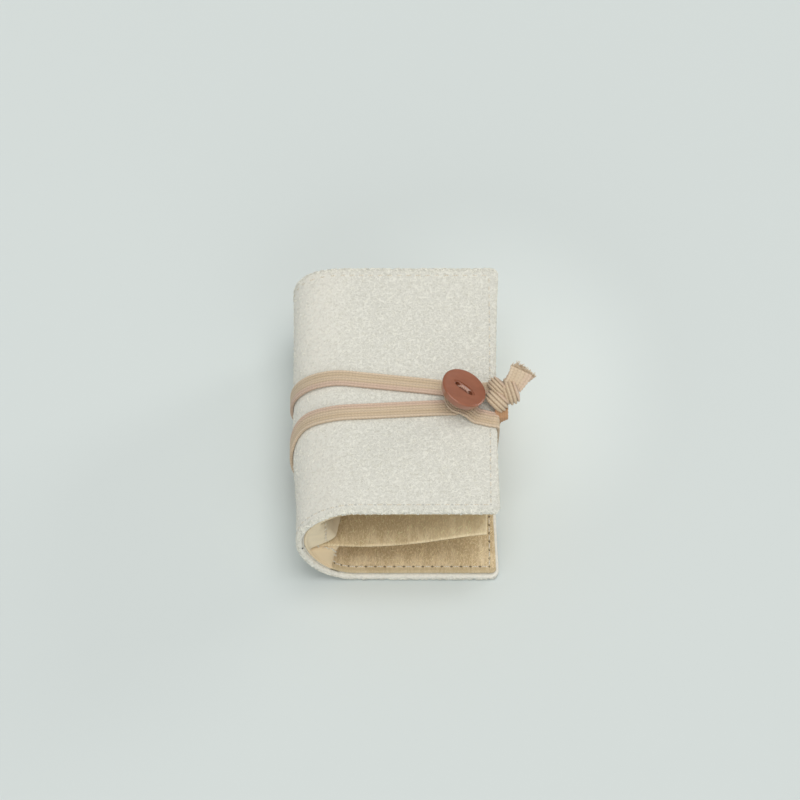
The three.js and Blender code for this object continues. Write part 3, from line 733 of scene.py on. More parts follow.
class Layer:
    """One cloth of the book's wrap: its depth, thickness and the side that is seen"""

    def __init__(self, depth, thickness, inset, facing, relief, coarse=5):
        self.depth = depth
        self.thickness = thickness
        self.inset = inset
        self.facing = facing
        self.relief = relief
        self.rim = thickness / 2
        self.coarse = coarse

    def surface(self, s, y, free, far=False, share=None):
        """Points, normals and own coordinates of the seen side, or of the far side"""
        distance, out_s, out_y = edge_distance(s, y, self.inset, free)
        lean = np.clip(1 - distance / self.rim, 0, 1)
        drop = self.rim * (1 - np.sqrt(1 - lean ** 2))
        seen = self.depth if self.facing > 0 else self.depth + self.thickness
        if far:
            drop = self.thickness - drop
        if share is not None:
            drop = np.where(share < 0, drop, share * self.thickness)
        depth = seen + self.facing * drop
        points, normal, along = on_book(s, y, depth)
        sides = unit(out_s[..., None] * along + out_y[..., None] * np.array([0, 1.0, 0]))
        upright = np.sqrt(1 - lean ** 2)[..., None] * (-1 if far else 1) * self.facing
        normal = unit(normal * upright + sides * lean[..., None])
        if self.relief is not None:
            points = self.relief(points, normal)
        return points, normal, np.stack([s, y, depth], axis=-1)

    def strip(self, parts, low, high, side=0):
        """Closed stretch of the layer from low to high, or from low to the fore-edge where
        side says which cover it ends in"""
        step = bpy.context.scene.nb_cloth.grain / MM
        end = HALF_LENGTH - self.inset
        rim = self.rim * (1 - np.cos(RIM_TURNS))
        count = max(4, int(2 * (end - self.rim) / step))
        ys = np.concatenate([-end + rim[:-1], np.linspace(-end + self.rim, end - self.rim, count),
                             end - rim[-2::-1]])
        free = side != 0
        if free:
            fore = fore_edge(ys, self.inset)
            count = max(4, int((fore.max() - self.rim - low) / step))
            shares = np.linspace(0, 1, count)[:, None]
            s = np.concatenate([low + (fore - self.rim - low)[None, :] * shares,
                                fore[None, :] - rim[-2::-1, None]]) * side
        else:
            count = max(3, int((high - low) / step))
            s = np.linspace(low, high, count)[:, None] + np.zeros((1, len(ys)))
        y = np.zeros_like(s) + ys[None, :]
        points, _, places = self.surface(s, y, free)
        rows, columns = s.shape
        flip = (side < 0) != (self.facing < 0)
        start = parts.add(points, places, grid_faces(rows, columns, flip))

        # Rings from the border of the seen side round to the far side
        loop = ([(i, 0) for i in range(rows)] + [(rows - 1, j) for j in range(1, columns)]
                + [(i, columns - 1) for i in range(rows - 2, -1, -1)]
                + [(0, j) for j in range(columns - 2, 0, -1)])
        index = np.array(loop)
        loop_s, loop_y = s[index[:, 0], index[:, 1]], y[index[:, 0], index[:, 1]]
        _, out_s, out_y = edge_distance(loop_s, loop_y, self.inset, free)
        at_end = (index[:, 1] == 0) | (index[:, 1] == columns - 1)
        at_fore = free & (index[:, 0] == rows - 1)
        cut = ~(at_end | at_fore)
        if free:
            out_s = np.where(at_end | at_fore, out_s, 0)
        before = start + index[:, 0] * columns + index[:, 1]
        total = len(loop)
        for turn, inward in enumerate(rim[1:], 1):
            move = np.where(cut, 0, inward)
            ring_s, ring_y = loop_s - out_s * move, loop_y - out_y * move
            share = np.where(cut, turn / (len(rim) - 1), -1)
            ring, _, ring_places = self.surface(ring_s, ring_y, free, far=True, share=share)
            faces = []
            here = parts.count
            for k in range(total):
                n = (k + 1) % total
                quad = [before[n] - here, before[k] - here, k, n]
                faces.append(quad[::-1] if flip else quad)
            parts.add(ring, ring_places, faces)
            before = here + np.arange(total)
        self.close(parts, s, y, free, before, loop, flip)

    def close(self, parts, s, y, free, ring, loop, flip):
        """Far side: large faces inside the last ring"""
        rows, columns = s.shape
        skip = len(RIM_TURNS) + 1
        i_lines = [0, *range(skip, rows - skip, self.coarse), rows - 1]
        j_lines = [0, *range(skip, columns - skip, self.coarse), columns - 1]
        on_ring = {place: int(ring[k]) for k, place in enumerate(loop)}
        inner = {}
        picked = [(i, j) for i in i_lines[1:-1] for j in j_lines[1:-1]]
        if picked:
            index = np.array(picked)
            points, _, places = self.surface(s[index[:, 0], index[:, 1]],
                                             y[index[:, 0], index[:, 1]], free, far=True)
            start = parts.add(points, places, [])
            inner = {place: start + k for k, place in enumerate(picked)}

        def run(first, second):
            (i0, j0), (i1, j1) = first, second
            border = (i0 == i1 and i0 in (0, rows - 1)) or (j0 == j1 and j0 in (0, columns - 1))
            if not border:
                return [on_ring.get(first, inner.get(first))]
            length = abs(i1 - i0) + abs(j1 - j0)
            di, dj = np.sign(i1 - i0), np.sign(j1 - j0)
            return [on_ring[(i0 + di * k, j0 + dj * k)] for k in range(length)]

        for a, b in zip(i_lines, i_lines[1:]):
            for c, d in zip(j_lines, j_lines[1:]):
                corners = [(a, c), (a, d), (b, d), (b, c)]
                face = [v for k in range(4) for v in run(corners[k], corners[(k + 1) % 4])]
                parts.faces.append(face[::-1] if flip else face)


def bend(piece, part, depth):
    """Bends a strip of the wrap between two bodies, round the hinge between them"""
    s = np.array(spine_at(2 * HALF_PART * part))
    middle, _, along = on_book(s, np.array(0.0), np.array(0.0))
    reach = (SPINE_RADIUS - depth) * math.sin(math.radians(HALF_PART)) * 0.97
    start, end = [(middle + along * reach * way) * MM for way in (-1, 1)]
    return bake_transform(piece, BODIES[part], BODIES[part + 1], tuple(start), tuple(end))


def declare(run):
    """Says that a strip of cloth is a sheet, as wide as its run round the book"""
    run * MM


# Route of the elastic: over the front cover, round the spine, under the book, up the mouth

BAND_WIDTH = 5.6
BAND_THICKNESS = 1.0
BAND_LIFT = 0.1
BAND_TURN = 1.2
HOOK_RADIUS = 3
HOOK_WIDTH = 3.6
HOOK_RISE = 1.5
HOOK_REACH = 6
HOOK_SWING = 2.07
HOOK_END_SHARE = 0.8
UPPER_HOOK_SHARE = 1.25
SHANK = (FORE_X - 12.7, -2.7)
KNOT = np.array([FORE_X - 1.1, -0.8, THICKNESS + 3.7])
KNOT_RADIUS = 4
ROUTE_TOP = THICKNESS + BAND_THICKNESS / 2
ROUTE_BOTTOM = BAND_LIFT + BAND_THICKNESS / 2
ROUTE_RADIUS = (ROUTE_TOP - ROUTE_BOTTOM) / 2
ROUTE_SPINE_X = ROUTE_RADIUS - FORE_X - BAND_THICKNESS / 2
ROUTE_FORE_X = FORE_X - FORE_EDGE_BOW + BAND_THICKNESS / 2
FLAT_RUN = ROUTE_FORE_X - BAND_TURN - ROUTE_SPINE_X
SPINE_RUN = math.pi * ROUTE_RADIUS
TURN_RUN = math.pi * BAND_TURN / 2
MOUTH_RUN = ROUTE_TOP - ROUTE_BOTTOM - 2 * BAND_TURN
SPINE_START = FLAT_RUN
UNDER_START = SPINE_START + SPINE_RUN
LOW_TURN_START = UNDER_START + FLAT_RUN
MOUTH_START = LOW_TURN_START + TURN_RUN
HIGH_TURN_START = MOUTH_START + MOUTH_RUN
ROUTE_LENGTH = HIGH_TURN_START + TURN_RUN


def on_arc(centre_x, centre_z, radius, angle):
    out = np.array([math.cos(angle), 0, math.sin(angle)])
    return np.array([centre_x, 0, centre_z]) + out * radius, out


def on_route(distance):
    """Point and outward direction at a distance along the route"""
    s = distance % ROUTE_LENGTH
    if s < SPINE_START:
        return np.array([ROUTE_FORE_X - BAND_TURN - s, 0, ROUTE_TOP]), np.array([0, 0, 1.0])
    if s < UNDER_START:
        return on_arc(ROUTE_SPINE_X, ROUTE_BOTTOM + ROUTE_RADIUS, ROUTE_RADIUS,
                      math.pi / 2 + (s - SPINE_START) / ROUTE_RADIUS)
    if s < LOW_TURN_START:
        return (np.array([ROUTE_SPINE_X + s - UNDER_START, 0, ROUTE_BOTTOM]),
                np.array([0, 0, -1.0]))
    if s < MOUTH_START:
        return on_arc(ROUTE_FORE_X - BAND_TURN, ROUTE_BOTTOM + BAND_TURN, BAND_TURN,
                      -math.pi / 2 + (s - LOW_TURN_START) / BAND_TURN)
    if s < HIGH_TURN_START:
        return (np.array([ROUTE_FORE_X, 0, ROUTE_BOTTOM + BAND_TURN + s - MOUTH_START]),
                np.array([1.0, 0, 0]))
    return on_arc(ROUTE_FORE_X - BAND_TURN, ROUTE_TOP - BAND_TURN, BAND_TURN,
                  (s - HIGH_TURN_START) / BAND_TURN)


def between(pairs, distance):
    """Smooth value at a distance, from pairs in rising order"""
    last = len(pairs) - 1
    index = 0
    while index < last - 1 and distance > pairs[index + 1][0]:
        index += 1

    def slope(k):
        low, high = pairs[max(k - 1, 0)], pairs[min(k + 1, last)]
        return (high[1] - low[1]) / (high[0] - low[0])

    (a, start), (b, end) = pairs[index], pairs[index + 1]
    span = b - a
    t = min(1.0, max(0.0, (distance - a) / span))
    return bridge(t, span, start, end, slope(index), slope(index + 1))


def top_at(x):
    return ROUTE_FORE_X - BAND_TURN - x


def round_at(degrees):
    return SPINE_START + math.radians(degrees) * ROUTE_RADIUS


FIRST_LAP_SHARES = [
    (top_at(SHANK[0] - HOOK_REACH), -0.064), (SPINE_START, -0.08), (round_at(20), -0.08),
    (round_at(55), -0.078), (round_at(90), -0.116), (round_at(130), -0.144),
    (UNDER_START, -0.129), (UNDER_START + FLAT_RUN / 2, -0.044), (MOUTH_START, 0.038),
    (MOUTH_START + MOUTH_RUN / 2, -0.038), (HIGH_TURN_START, -0.111),
]
SECOND_LAP_SHARES = [
    (top_at(SHANK[0] - HOOK_REACH), 0.017), (SPINE_START, 0.052), (round_at(20), 0.062),
    (round_at(90), 0.077), (UNDER_START, 0.084), (MOUTH_START, 0.111),
    (MOUTH_START + MOUTH_RUN / 2, 0.071), (HIGH_TURN_START - KNOT_RADIUS, 0.016),
]


def along_book(shares, lap):
    return [(distance - lap * ROUTE_LENGTH, share * 2 * HALF_LENGTH) for distance, share in shares]


def strand(start, end, places, step=1.0):
    """Points of one lap, with the way that its outer face looks and its width"""
    found = []
    for s in np.linspace(start, end, int((end - start) / step)):
        at, out = on_route(s)
        y = between(places, s)
        round_s = ((SPINE_START + UNDER_START) / 2 - s % ROUTE_LENGTH) * HALF_ROUND * 2 / SPINE_RUN
        at = at + out * swell(np.array(round_s), np.array(y))
        at[1] = y
        found.append((at, out, BAND_WIDTH))
    return found


def hook(start_angle, height, tail_share, steps=16):
    """Half turn round the thread under the button"""
    found = []
    for step in range(steps + 1):
        angle = start_angle + math.pi * step / steps
        reach = HOOK_RADIUS * (tail_share if math.sin(angle) < 0 else 1)
        narrow = math.sin(math.pi * step / steps)
        at = np.array([SHANK[0] + HOOK_RADIUS * math.cos(angle),
                       SHANK[1] + reach * math.sin(angle), height])
        width = BAND_WIDTH * HOOK_END_SHARE * (1 - narrow) + HOOK_WIDTH * narrow
        found.append((at, np.array([0, 0, 1.0]), width))
    return found


def laps():
    """The two laps round the book, in the order that the elastic runs"""
    first = strand(top_at(SHANK[0]) - ROUTE_LENGTH, top_at(SHANK[0] + HOOK_REACH), [
        (top_at(SHANK[0]) - ROUTE_LENGTH, SHANK[1] - HOOK_RADIUS),
        *along_book(FIRST_LAP_SHARES, 1),
        (top_at(SHANK[0] + HOOK_REACH), SHANK[1] - HOOK_SWING * HOOK_RADIUS)])[::-1]
    second = strand(top_at(SHANK[0]), HIGH_TURN_START - KNOT_RADIUS, [
        (top_at(SHANK[0]), SHANK[1] + HOOK_RADIUS), *along_book(SECOND_LAP_SHARES, 0)])
    return first, second


# Last stretch up to the knot: out from the route, along from the knot and up from the
# front cover in shares of the knot's radius, and the way that it faces
KNOT_END_SHARES = [
    (0.15, -0.90, -1.45, (1, -0.5, 0.1)),
    (0.20, -1.75, -1.05, (0.5, -0.85, 0.2)),
    (0.26, -1.95, -0.40, (0.35, -0.9, 0.3)),
    (0.26, -1.40, 0.30, (0.35, -0.8, 0.5)),
]


def band_points():
    """The whole elastic from the knot and back to it"""
    up = np.array([0, 0, 1.0])
    hook_top = ROUTE_TOP + HOOK_RISE
    narrow = BAND_WIDTH * HOOK_END_SHARE
    lead_y = KNOT[1] + 0.15 * KNOT_RADIUS
    lead = [
        (KNOT[0] - 0.25 * KNOT_RADIUS, lead_y, hook_top + 1.3 * BAND_THICKNESS),
        (KNOT[0] - 1.2 * KNOT_RADIUS, lead_y, hook_top + 0.7 * BAND_THICKNESS),
        (SHANK[0] + HOOK_RADIUS, SHANK[1] + HOOK_RADIUS, hook_top + BAND_LIFT),
    ]
    first, second = laps()
    swing = (SHANK[0] + HOOK_RADIUS, SHANK[1] - HOOK_SWING * HOOK_RADIUS + HOOK_RISE, hook_top)
    knot_end = [(np.array([ROUTE_FORE_X + outward * KNOT_RADIUS, KNOT[1] + along * KNOT_RADIUS,
                           THICKNESS + rise * KNOT_RADIUS]), np.array(lean, float), narrow)
                for outward, along, rise, lean in KNOT_END_SHARES]
    return ([(np.array(place), up, narrow) for place in lead]
            + hook(math.pi / 2, hook_top, UPPER_HOOK_SHARE)
            + [(np.array(swing), up, BAND_WIDTH)] + first[:-1]
            + hook(-math.pi / 2, ROUTE_TOP, 1) + second[1:] + knot_end)


def stations(points, step):
    """Even stations along points on a smooth curve: places, across, out, width and run"""
    at = np.array([p[0] for p in points])
    out = np.array([p[1] for p in points], float)
    width = np.array([p[2] for p in points], float)
    gaps = np.linalg.norm(np.diff(at, axis=0), axis=1)
    keep = np.concatenate([[True], gaps > 1e-3])
    at, out, width = at[keep], out[keep], width[keep]
    run = run_along(at)
    fine = np.linspace(0, run[-1], int(run[-1] / step))
    curve = smooth_through(np.concatenate([at, out, width[:, None]], axis=1), run, fine)
    at, out, width = curve[:, :3], curve[:, 3:6], curve[:, 6]
    along = unit(np.gradient(at, axis=0))
    out = unit(out - along * (out * along).sum(1, keepdims=True))
    return at, np.cross(out, along), out, width, fine


def ribbed_section(width, thickness, ribs, run=None):
    """Section of the elastic at each station, with ribs and looped edges"""
    share = np.linspace(-1, 1, 6 * ribs + 1)
    crown = np.abs(np.cos(share * ribs * math.pi / 2)) if ribs % 2 else np.abs(
        np.sin(share * ribs * math.pi / 2))
    height = 0.58 + 0.42 * np.sqrt(crown)
    height[0] = height[-1] = 0.3
    side = np.concatenate([share[::-1], share])
    face = np.concatenate([height[::-1], -height])
    width = np.asarray(width)[:, None]
    half = width / 2 * np.ones((1, len(side)))
    if run is not None:
        teeth = 0.11 * np.sin(run * 2 * math.pi / 1.1)[:, None]
        edge = np.maximum(np.abs(side) - 0.85, 0)[None, :] / 0.15
        half = half + teeth * edge * np.sign(side)[None, :] - 0.1 * edge
    section = np.stack([side[None, :] * half, face[None, :] * thickness / 2
                        * np.ones_like(half)], axis=-1)
    return section, side


# Where the elastic lies on the cloth, the cloth gives way to it

class Press:
    """The elastic as stations that a point can be measured against"""

    def __init__(self):
        first, second = laps()
        found = [stations(lap, 0.5) for lap in (first[::-1], second)]
        self.at = np.concatenate([f[0] for f in found])
        self.across = np.concatenate([f[1] for f in found])
        self.out = np.concatenate([f[2] for f in found])
        self.tree = kdtree.KDTree(len(self.at))
        for index, place in enumerate(self.at):
            self.tree.insert(Vector(place), index)
        self.tree.balance()

    def measure(self, points):
        """How far each point reaches into the elastic's bed, and how near it lies, 0 to 1"""
        flat = points.reshape(-1, 3)
        reach = np.zeros(len(flat))
        near = np.zeros(len(flat))
        for k, point in enumerate(flat):
            _, index, distance = self.tree.find(Vector(point))
            if distance > BAND_WIDTH:
                continue
            offset = point - self.at[index]
            side = abs(offset @ self.across[index])
            share = (side - BAND_WIDTH / 2 + 0.2) / 1.3
            share = min(1.0, max(0.0, share))
            near[k] = 1 - share * share * (3 - 2 * share)
            reach[k] = offset @ self.out[index] + BAND_THICKNESS / 2 + 0.12
        return reach.reshape(points.shape[:-1]), near.reshape(points.shape[:-1])


press = Press()


def worms(point, size):
    """Curled ridges, 0 in the hollows and 1 on the curls"""
    at = Vector(point) / size
    at = at + noise.noise_vector(at * 0.8) * 0.7
    first = 1 - min(1.0, abs(noise.noise(at)) * 3.0)
    second = 1 - min(1.0, abs(noise.noise(at * 1.6 + Vector((7.3, 1.9, 4.1)))) * 2.6)
    return (first + second) / 2


def boucle_relief(points, normals):
    """Curls of the outer cloth, pressed flat under the elastic and along the seams"""
    high = bpy.context.scene.nb_cloth.relief / MM
    flat = points.reshape(-1, 3)
    curl = np.array([worms(p, 1.25) for p in flat]).reshape(points.shape[:-1])
    soft = np.array([noise.noise(Vector(p) * 0.22) for p in flat]).reshape(points.shape[:-1])
    reach, near = press.measure(points)
    rise = (high * (curl - 0.7) + 0.10 * soft) * (1 - 0.85 * near)
    moved = points + normals * rise[..., None]
    sink = np.maximum(reach, 0) * near
    return moved - normals * sink[..., None]


def nap_relief(points, normals):
    """Combed nap of the linings"""
    flat = points.reshape(-1, 3) * np.array([0.9, 0.28, 0.9])
    nap = np.array([noise.noise(Vector(p) * 1.3) + 0.5 * noise.noise(Vector(p) * 3.1)
                    for p in flat]).reshape(points.shape[:-1])
    return points + normals * (0.09 * nap)[..., None]


# Loops along each millimetre of the cover's edges, and fibres on a square millimetre of felt
EDGE_CURLS = 9
FIBRES = 1.5


def loop_template(ends, sway, arch, thick, steps=5, sides=3):
    """One loose yarn or fibre along X, with unit reach: how far its ends turn in, how far it
    sways along Y and arches along Z, and its thickness"""
    turn = np.linspace(0.0, 1.0, steps + 1)
    angle = math.pi * (turn * (1 + 2 * ends) - ends)
    at = np.stack([-np.cos(angle), sway * np.sin(2 * angle), arch * np.sin(angle) - 0.12],
                  axis=-1)
    along = unit(np.gradient(at, axis=0))
    out = unit(np.array([0, 0, 1.0]) - along * along[:, 2:3])
    across = np.cross(out, along)
    ring = np.linspace(0, 2 * math.pi, sides, endpoint=False)
    section = np.stack([np.cos(ring), np.sin(ring)], axis=-1) * thick
    points = (at[:, None, :] + section[None, :, 0:1] * across[:, None, :]
              + section[None, :, 1:2] * out[:, None, :])
    return points.reshape(-1, 3), tube_faces(steps + 1, sides)


def strew(parts, shape, points, normal, places, turn, size, random):
    """Copies of a template that lie on a surface, turned about its normals. Their depth is
    below -1, by which the materials know them."""
    template, faces = shape
    first = unit(np.cross(np.array([0, 1.0, 0]), normal) + 1e-6)
    second = np.cross(normal, first)
    x_axis = first * np.cos(turn)[:, None] + second * np.sin(turn)[:, None]
    frames = np.stack([x_axis, np.cross(normal, x_axis), normal], axis=1) * size[:, None, None]
    loops = points[:, None, :] + np.einsum("vk,nkc->nvc", template, frames)
    places = places.copy()
    places[:, 2] = -random.uniform(1, 3, len(places))
    own = np.repeat(places[:, None, :], len(template), axis=1)
    start = np.arange(len(loops))[:, None, None] * len(template)
    quads = (start + np.array([f for f in faces if len(f) == 4])[None]).reshape(-1, 4)
    caps = (start + np.array([f for f in faces if len(f) == 3])[None]).reshape(-1, 3)
    parts.add(loops, own, quads.tolist() + caps.tolist())


def scatter_curls(parts, layer, low, high, side, random):
    """Loose yarn loops over one strip of the outer cloth, thicker along its edges"""
    end = HALF_LENGTH - 0.05
    far = high if side == 0 else fore_edge(np.array(0.0), 0) + FORE_EDGE_BOW
    density = bpy.context.scene.nb_cloth.curls
    count = int((far - low) * 2 * end * density)
    edge = int((far - low) * EDGE_CURLS)
    s = random.uniform(low, far, count + edge)
    y = np.concatenate([random.uniform(-end, end, count),
                        (end - random.uniform(0, 0.7, edge)) * random.choice([-1, 1], edge)])
    if side:
        fore = random.uniform(-end, end, int(2 * end * EDGE_CURLS / 2))
        s = np.concatenate([s, fore_edge(fore, 0) - random.uniform(0.03, 0.7, len(fore))])
        y = np.concatenate([y, fore])
        inside = s < fore_edge(y, 0) - 0.02
        s, y = s[inside] * side, y[inside]
    turn = random.uniform(0, 2 * math.pi, len(s))
    points, normal, places = layer.surface(s, y, side != 0)
    at_edge = HALF_LENGTH - np.abs(y) < 1
    size = random.uniform(0.26, 0.46, len(s)) * np.where(at_edge, 1.8, 1)
    _, near = press.measure(points)
    seam = np.abs(np.abs(y) - (HALF_LENGTH - SEAM_INSET)) < 0.4
    kept = (near < 0.15) & ~seam
    strew(parts, loop_template(0.175, 0.35, 0.36, 0.24), points[kept], normal[kept],
          places[kept], turn[kept], size[kept], random)


def scatter_fibres(parts, points, normal, places, random):
    """Loose fibres of brushed felt, most of them along the book"""
    turn = math.pi / 2 + random.normal(0, 0.55, len(points))
    size = random.uniform(0.45, 1.1, len(points))
    strew(parts, loop_template(0.0, 0.18, 0.18, 0.06, steps=3), points, normal, places,
          turn, size, random)


def strip_ends(part, inset):
    """Cover that a strip of the wrap ends in, or 0, where it starts and ends, and its run"""
    side = {0: -1, 5: 1}.get(part, 0)
    start = abs(spine_at(BORDERS[-1])) if side else spine_at(BORDERS[part - 1])
    high = spine_at(BORDERS[min(part, 4)]) if part < 5 else spine_at(BORDERS[-1] + 2 * HALF_PART)
    end = fore_edge(np.array(0.0), inset) if side else high
    return side, start, high, end - start


def make_cover():
    """The outer cloth: two covers with half a spine part each, and four strips of the spine"""
    thickness = bpy.context.scene.nb_cloth.outer / MM
    layer = Layer(0, thickness, 0, 1, boucle_relief)
    noise.seed_set(SEED)
    random = np.random.default_rng(SEED)
    names = ["cover_cloth_back", "cover_cloth_spine_1", "cover_cloth_spine_2",
             "cover_cloth_spine_3", "cover_cloth_spine_4", "cover_cloth_front"]
    stands_for = [["back_cover", "spine_cover_1"], ["spine_cover_2"], ["spine_cover_3"],
                  ["spine_cover_4"], ["spine_cover_5"], ["front_cover"]]
    for part in range(6):
        parts = Parts()
        side, start, high, run = strip_ends(part, 0)
        layer.strip(parts, start, high, side)
        scatter_curls(parts, layer, start, high, side, random)
        piece = parts.piece(names[part], "boucle", "outer_cloth", stands_for[part], SHARP)
        bend(piece, part, thickness)
        declare(run)


def make_interlining():
    """Wadding between the cloths, in strips that bend as the cover does"""
    thickness = bpy.context.scene.nb_cloth.interlining / MM
    layer = Layer(INTERLINING_DEPTH, thickness, INTERLINING_INSET, 1, None, 2)
    stands_for = [["back_interlining", "spine_interlining_1"], ["spine_interlining_2"],
                  ["spine_interlining_3"], ["spine_interlining_4"], ["spine_interlining_5"],
                  ["front_interlining"]]
    for part in range(6):
        parts = Parts()
        side, start, high, run = strip_ends(part, INTERLINING_INSET)
        layer.strip(parts, start, high, side)
        piece = parts.piece(f"interlining_strip_{part + 1}", "interlining", "interlining",
                            stands_for[part], SHARP)
        bend(piece, part, INTERLINING_DEPTH + thickness)
        declare(run)


# Angles on the spine between which the smooth lining shows
LINING_LOW = 29
LINING_HIGH = 156

# The smooth lining's two soft folds: the angles that each lies between, the angle of its
# crest, how far it stands out, and how far in from the book's ends it has grown to that
FOLDS = [(29.5, 54, 76, 8.0), (80.5, 89, 138, 9.2)]
FOLD_FULLNESS = 0.55
FOLD_CLOTH = 1.6
FOLD_RUN = 3.8
FOLD_START = HALF_LENGTH - 1.4
FOLD_WAVE = 0.2

# Farthest that the folds come in from the round of the spine
FOLD_REACH = FOLDS[-1][-1] * (1 + FOLD_WAVE) + SLUMP


def folded(points):
    """How far the folds of the smooth lining move points, towards the spine's middle line"""
    inward = unit(np.array([SPINE_X, 0, SPINE_RADIUS]) - points * np.array([1, 0, 1]))
    angle = np.degrees(np.arctan2(inward[..., 0], inward[..., 2]))
    lift = np.zeros(points.shape[:-1])
    for low, crest, high, height in FOLDS:
        side = np.where(angle < crest, (angle - low) / (crest - low),
                        (high - angle) / (high - crest))
        lift += height * np.sin(np.clip(side, 0, 1) * math.pi / 2) ** FOLD_FULLNESS
    grown = np.clip((FOLD_START - np.abs(points[..., 1])) / FOLD_RUN, 0, 1)
    soft = np.array([noise.noise(Vector(p) * 0.16) for p in points.reshape(-1, 3)])
    lift = lift * np.sin(grown * math.pi / 2) ** 0.7 * (1 + FOLD_WAVE * soft.reshape(lift.shape))
    return inward * lift[..., None]


def fold_relief(points, normals):
    """The folds, on the seen side of the smooth lining"""
    moved = folded(points)
    return points + moved * ((normals * moved).sum(-1) > 0)[..., None]


def make_linings():
    """Felt linings of both covers and the smooth lining of the spine"""
    thickness = bpy.context.scene.nb_cloth.lining / MM
    layer = Layer(LINING_DEPTH, thickness, LINING_INSET, -1, nap_relief)
    smooth = Layer(LINING_DEPTH, thickness, LINING_INSET, -1, fold_relief)
    random = np.random.default_rng(SEED + 3)
    depth = LINING_DEPTH + thickness
    runs = [
        ("lining_back", layer, "lining", 0, None, BORDERS[0], -1,
         ["back_lining", "spine_lining_1"]),
        ("lining_turn_back", layer, "lining", 1, BORDERS[0], LINING_LOW, 0, []),
        ("spine_lining_low", smooth, "spine_lining", 1, LINING_LOW, BORDERS[1], 0,
         ["spine_lining_2"]),
        ("spine_lining_middle_low", smooth, "spine_lining", 2, BORDERS[1], BORDERS[2], 0,
         ["spine_lining_3"]),
        ("spine_lining_middle_high", smooth, "spine_lining", 3, BORDERS[2], BORDERS[3], 0,
         ["spine_lining_4"]),
        ("spine_lining_high", smooth, "spine_lining", 4, BORDERS[3], LINING_HIGH, 0,
         ["spine_lining_5"]),
        ("lining_turn_front", layer, "lining", 4, LINING_HIGH, BORDERS[4], 0, []),
        ("lining_front", layer, "lining", 5, None, BORDERS[4], 1, ["front_lining"]),
    ]
    turned = {}
    for name, cloth, material, part, low, high, side, stands_for in runs:
        parts = Parts()
        start = abs(spine_at(high)) if side else spine_at(low)
        cloth.strip(parts, start, spine_at(high), side)
        if side:
            far = fore_edge(np.array(0.0), LINING_INSET) - 0.6
            end = HALF_LENGTH - SEAM_INSET - 0.7
            count = int((far - start) * 2 * end * FIBRES)
            s = random.uniform(start, far, count) * side
            y = random.uniform(-end, end, count)
            scatter_fibres(parts, *cloth.surface(s, y, True), random)
        piece = parts.piece(name, material, material, stands_for, SHARP)
        bend(piece, part, depth + FOLD_REACH if cloth is smooth else depth)
        if side:
            turned[name] = piece, far - start
        elif cloth is smooth:
            declare((spine_at(high) - start) * FOLD_CLOTH)
        else:
            turned[name] = piece, 0
    for end in ("back", "front"):
        piece, run = turned[f"lining_{end}"]
        declare(run)


# Felt leaf, in the run and the rise of its middle line
LEAF_THICKNESS = 1.2
LEAF_INSET = 3
LEAF_ROOT_Z = 17.2
LEAF_END_Z = 24.4
LEAF_ROOT_X = SPINE_X + 0.6 - math.sqrt((SPINE_RADIUS - INNER_DEPTH) ** 2
                                        - (SPINE_RADIUS - LEAF_ROOT_Z) ** 2)
LEAF_END_X = FORE_X - 4
RISING_SHARES = [(0, 0), (0.15, -0.06), (0.36, -0.1), (0.6, 0.16), (0.9, 0.84), (1, 1)]


def leaf_line(count):
    """Points and normals of the leaf's middle line, a Catmull-Rom curve as in the solid"""
    shares = np.array(RISING_SHARES, float)
    knots = np.stack([LEAF_ROOT_X + (LEAF_END_X - LEAF_ROOT_X) * shares[:, 0],
                      LEAF_ROOT_Z + (LEAF_END_Z - LEAF_ROOT_Z) * shares[:, 1]], axis=-1)
    found = []
    for t in np.linspace(0, len(knots) - 1, count):
        k = min(int(t), len(knots) - 2)
        p0, p1 = knots[max(k - 1, 0)], knots[k]
        p2, p3 = knots[k + 1], knots[min(k + 2, len(knots) - 1)]
        found.append(bridge(t - k, 1, p1, p2, (p2 - p0) / 2, (p3 - p1) / 2))
    line = np.array(found)
    along = unit(np.gradient(line, axis=0))
    return line, np.stack([-along[:, 1], along[:, 0]], axis=-1)


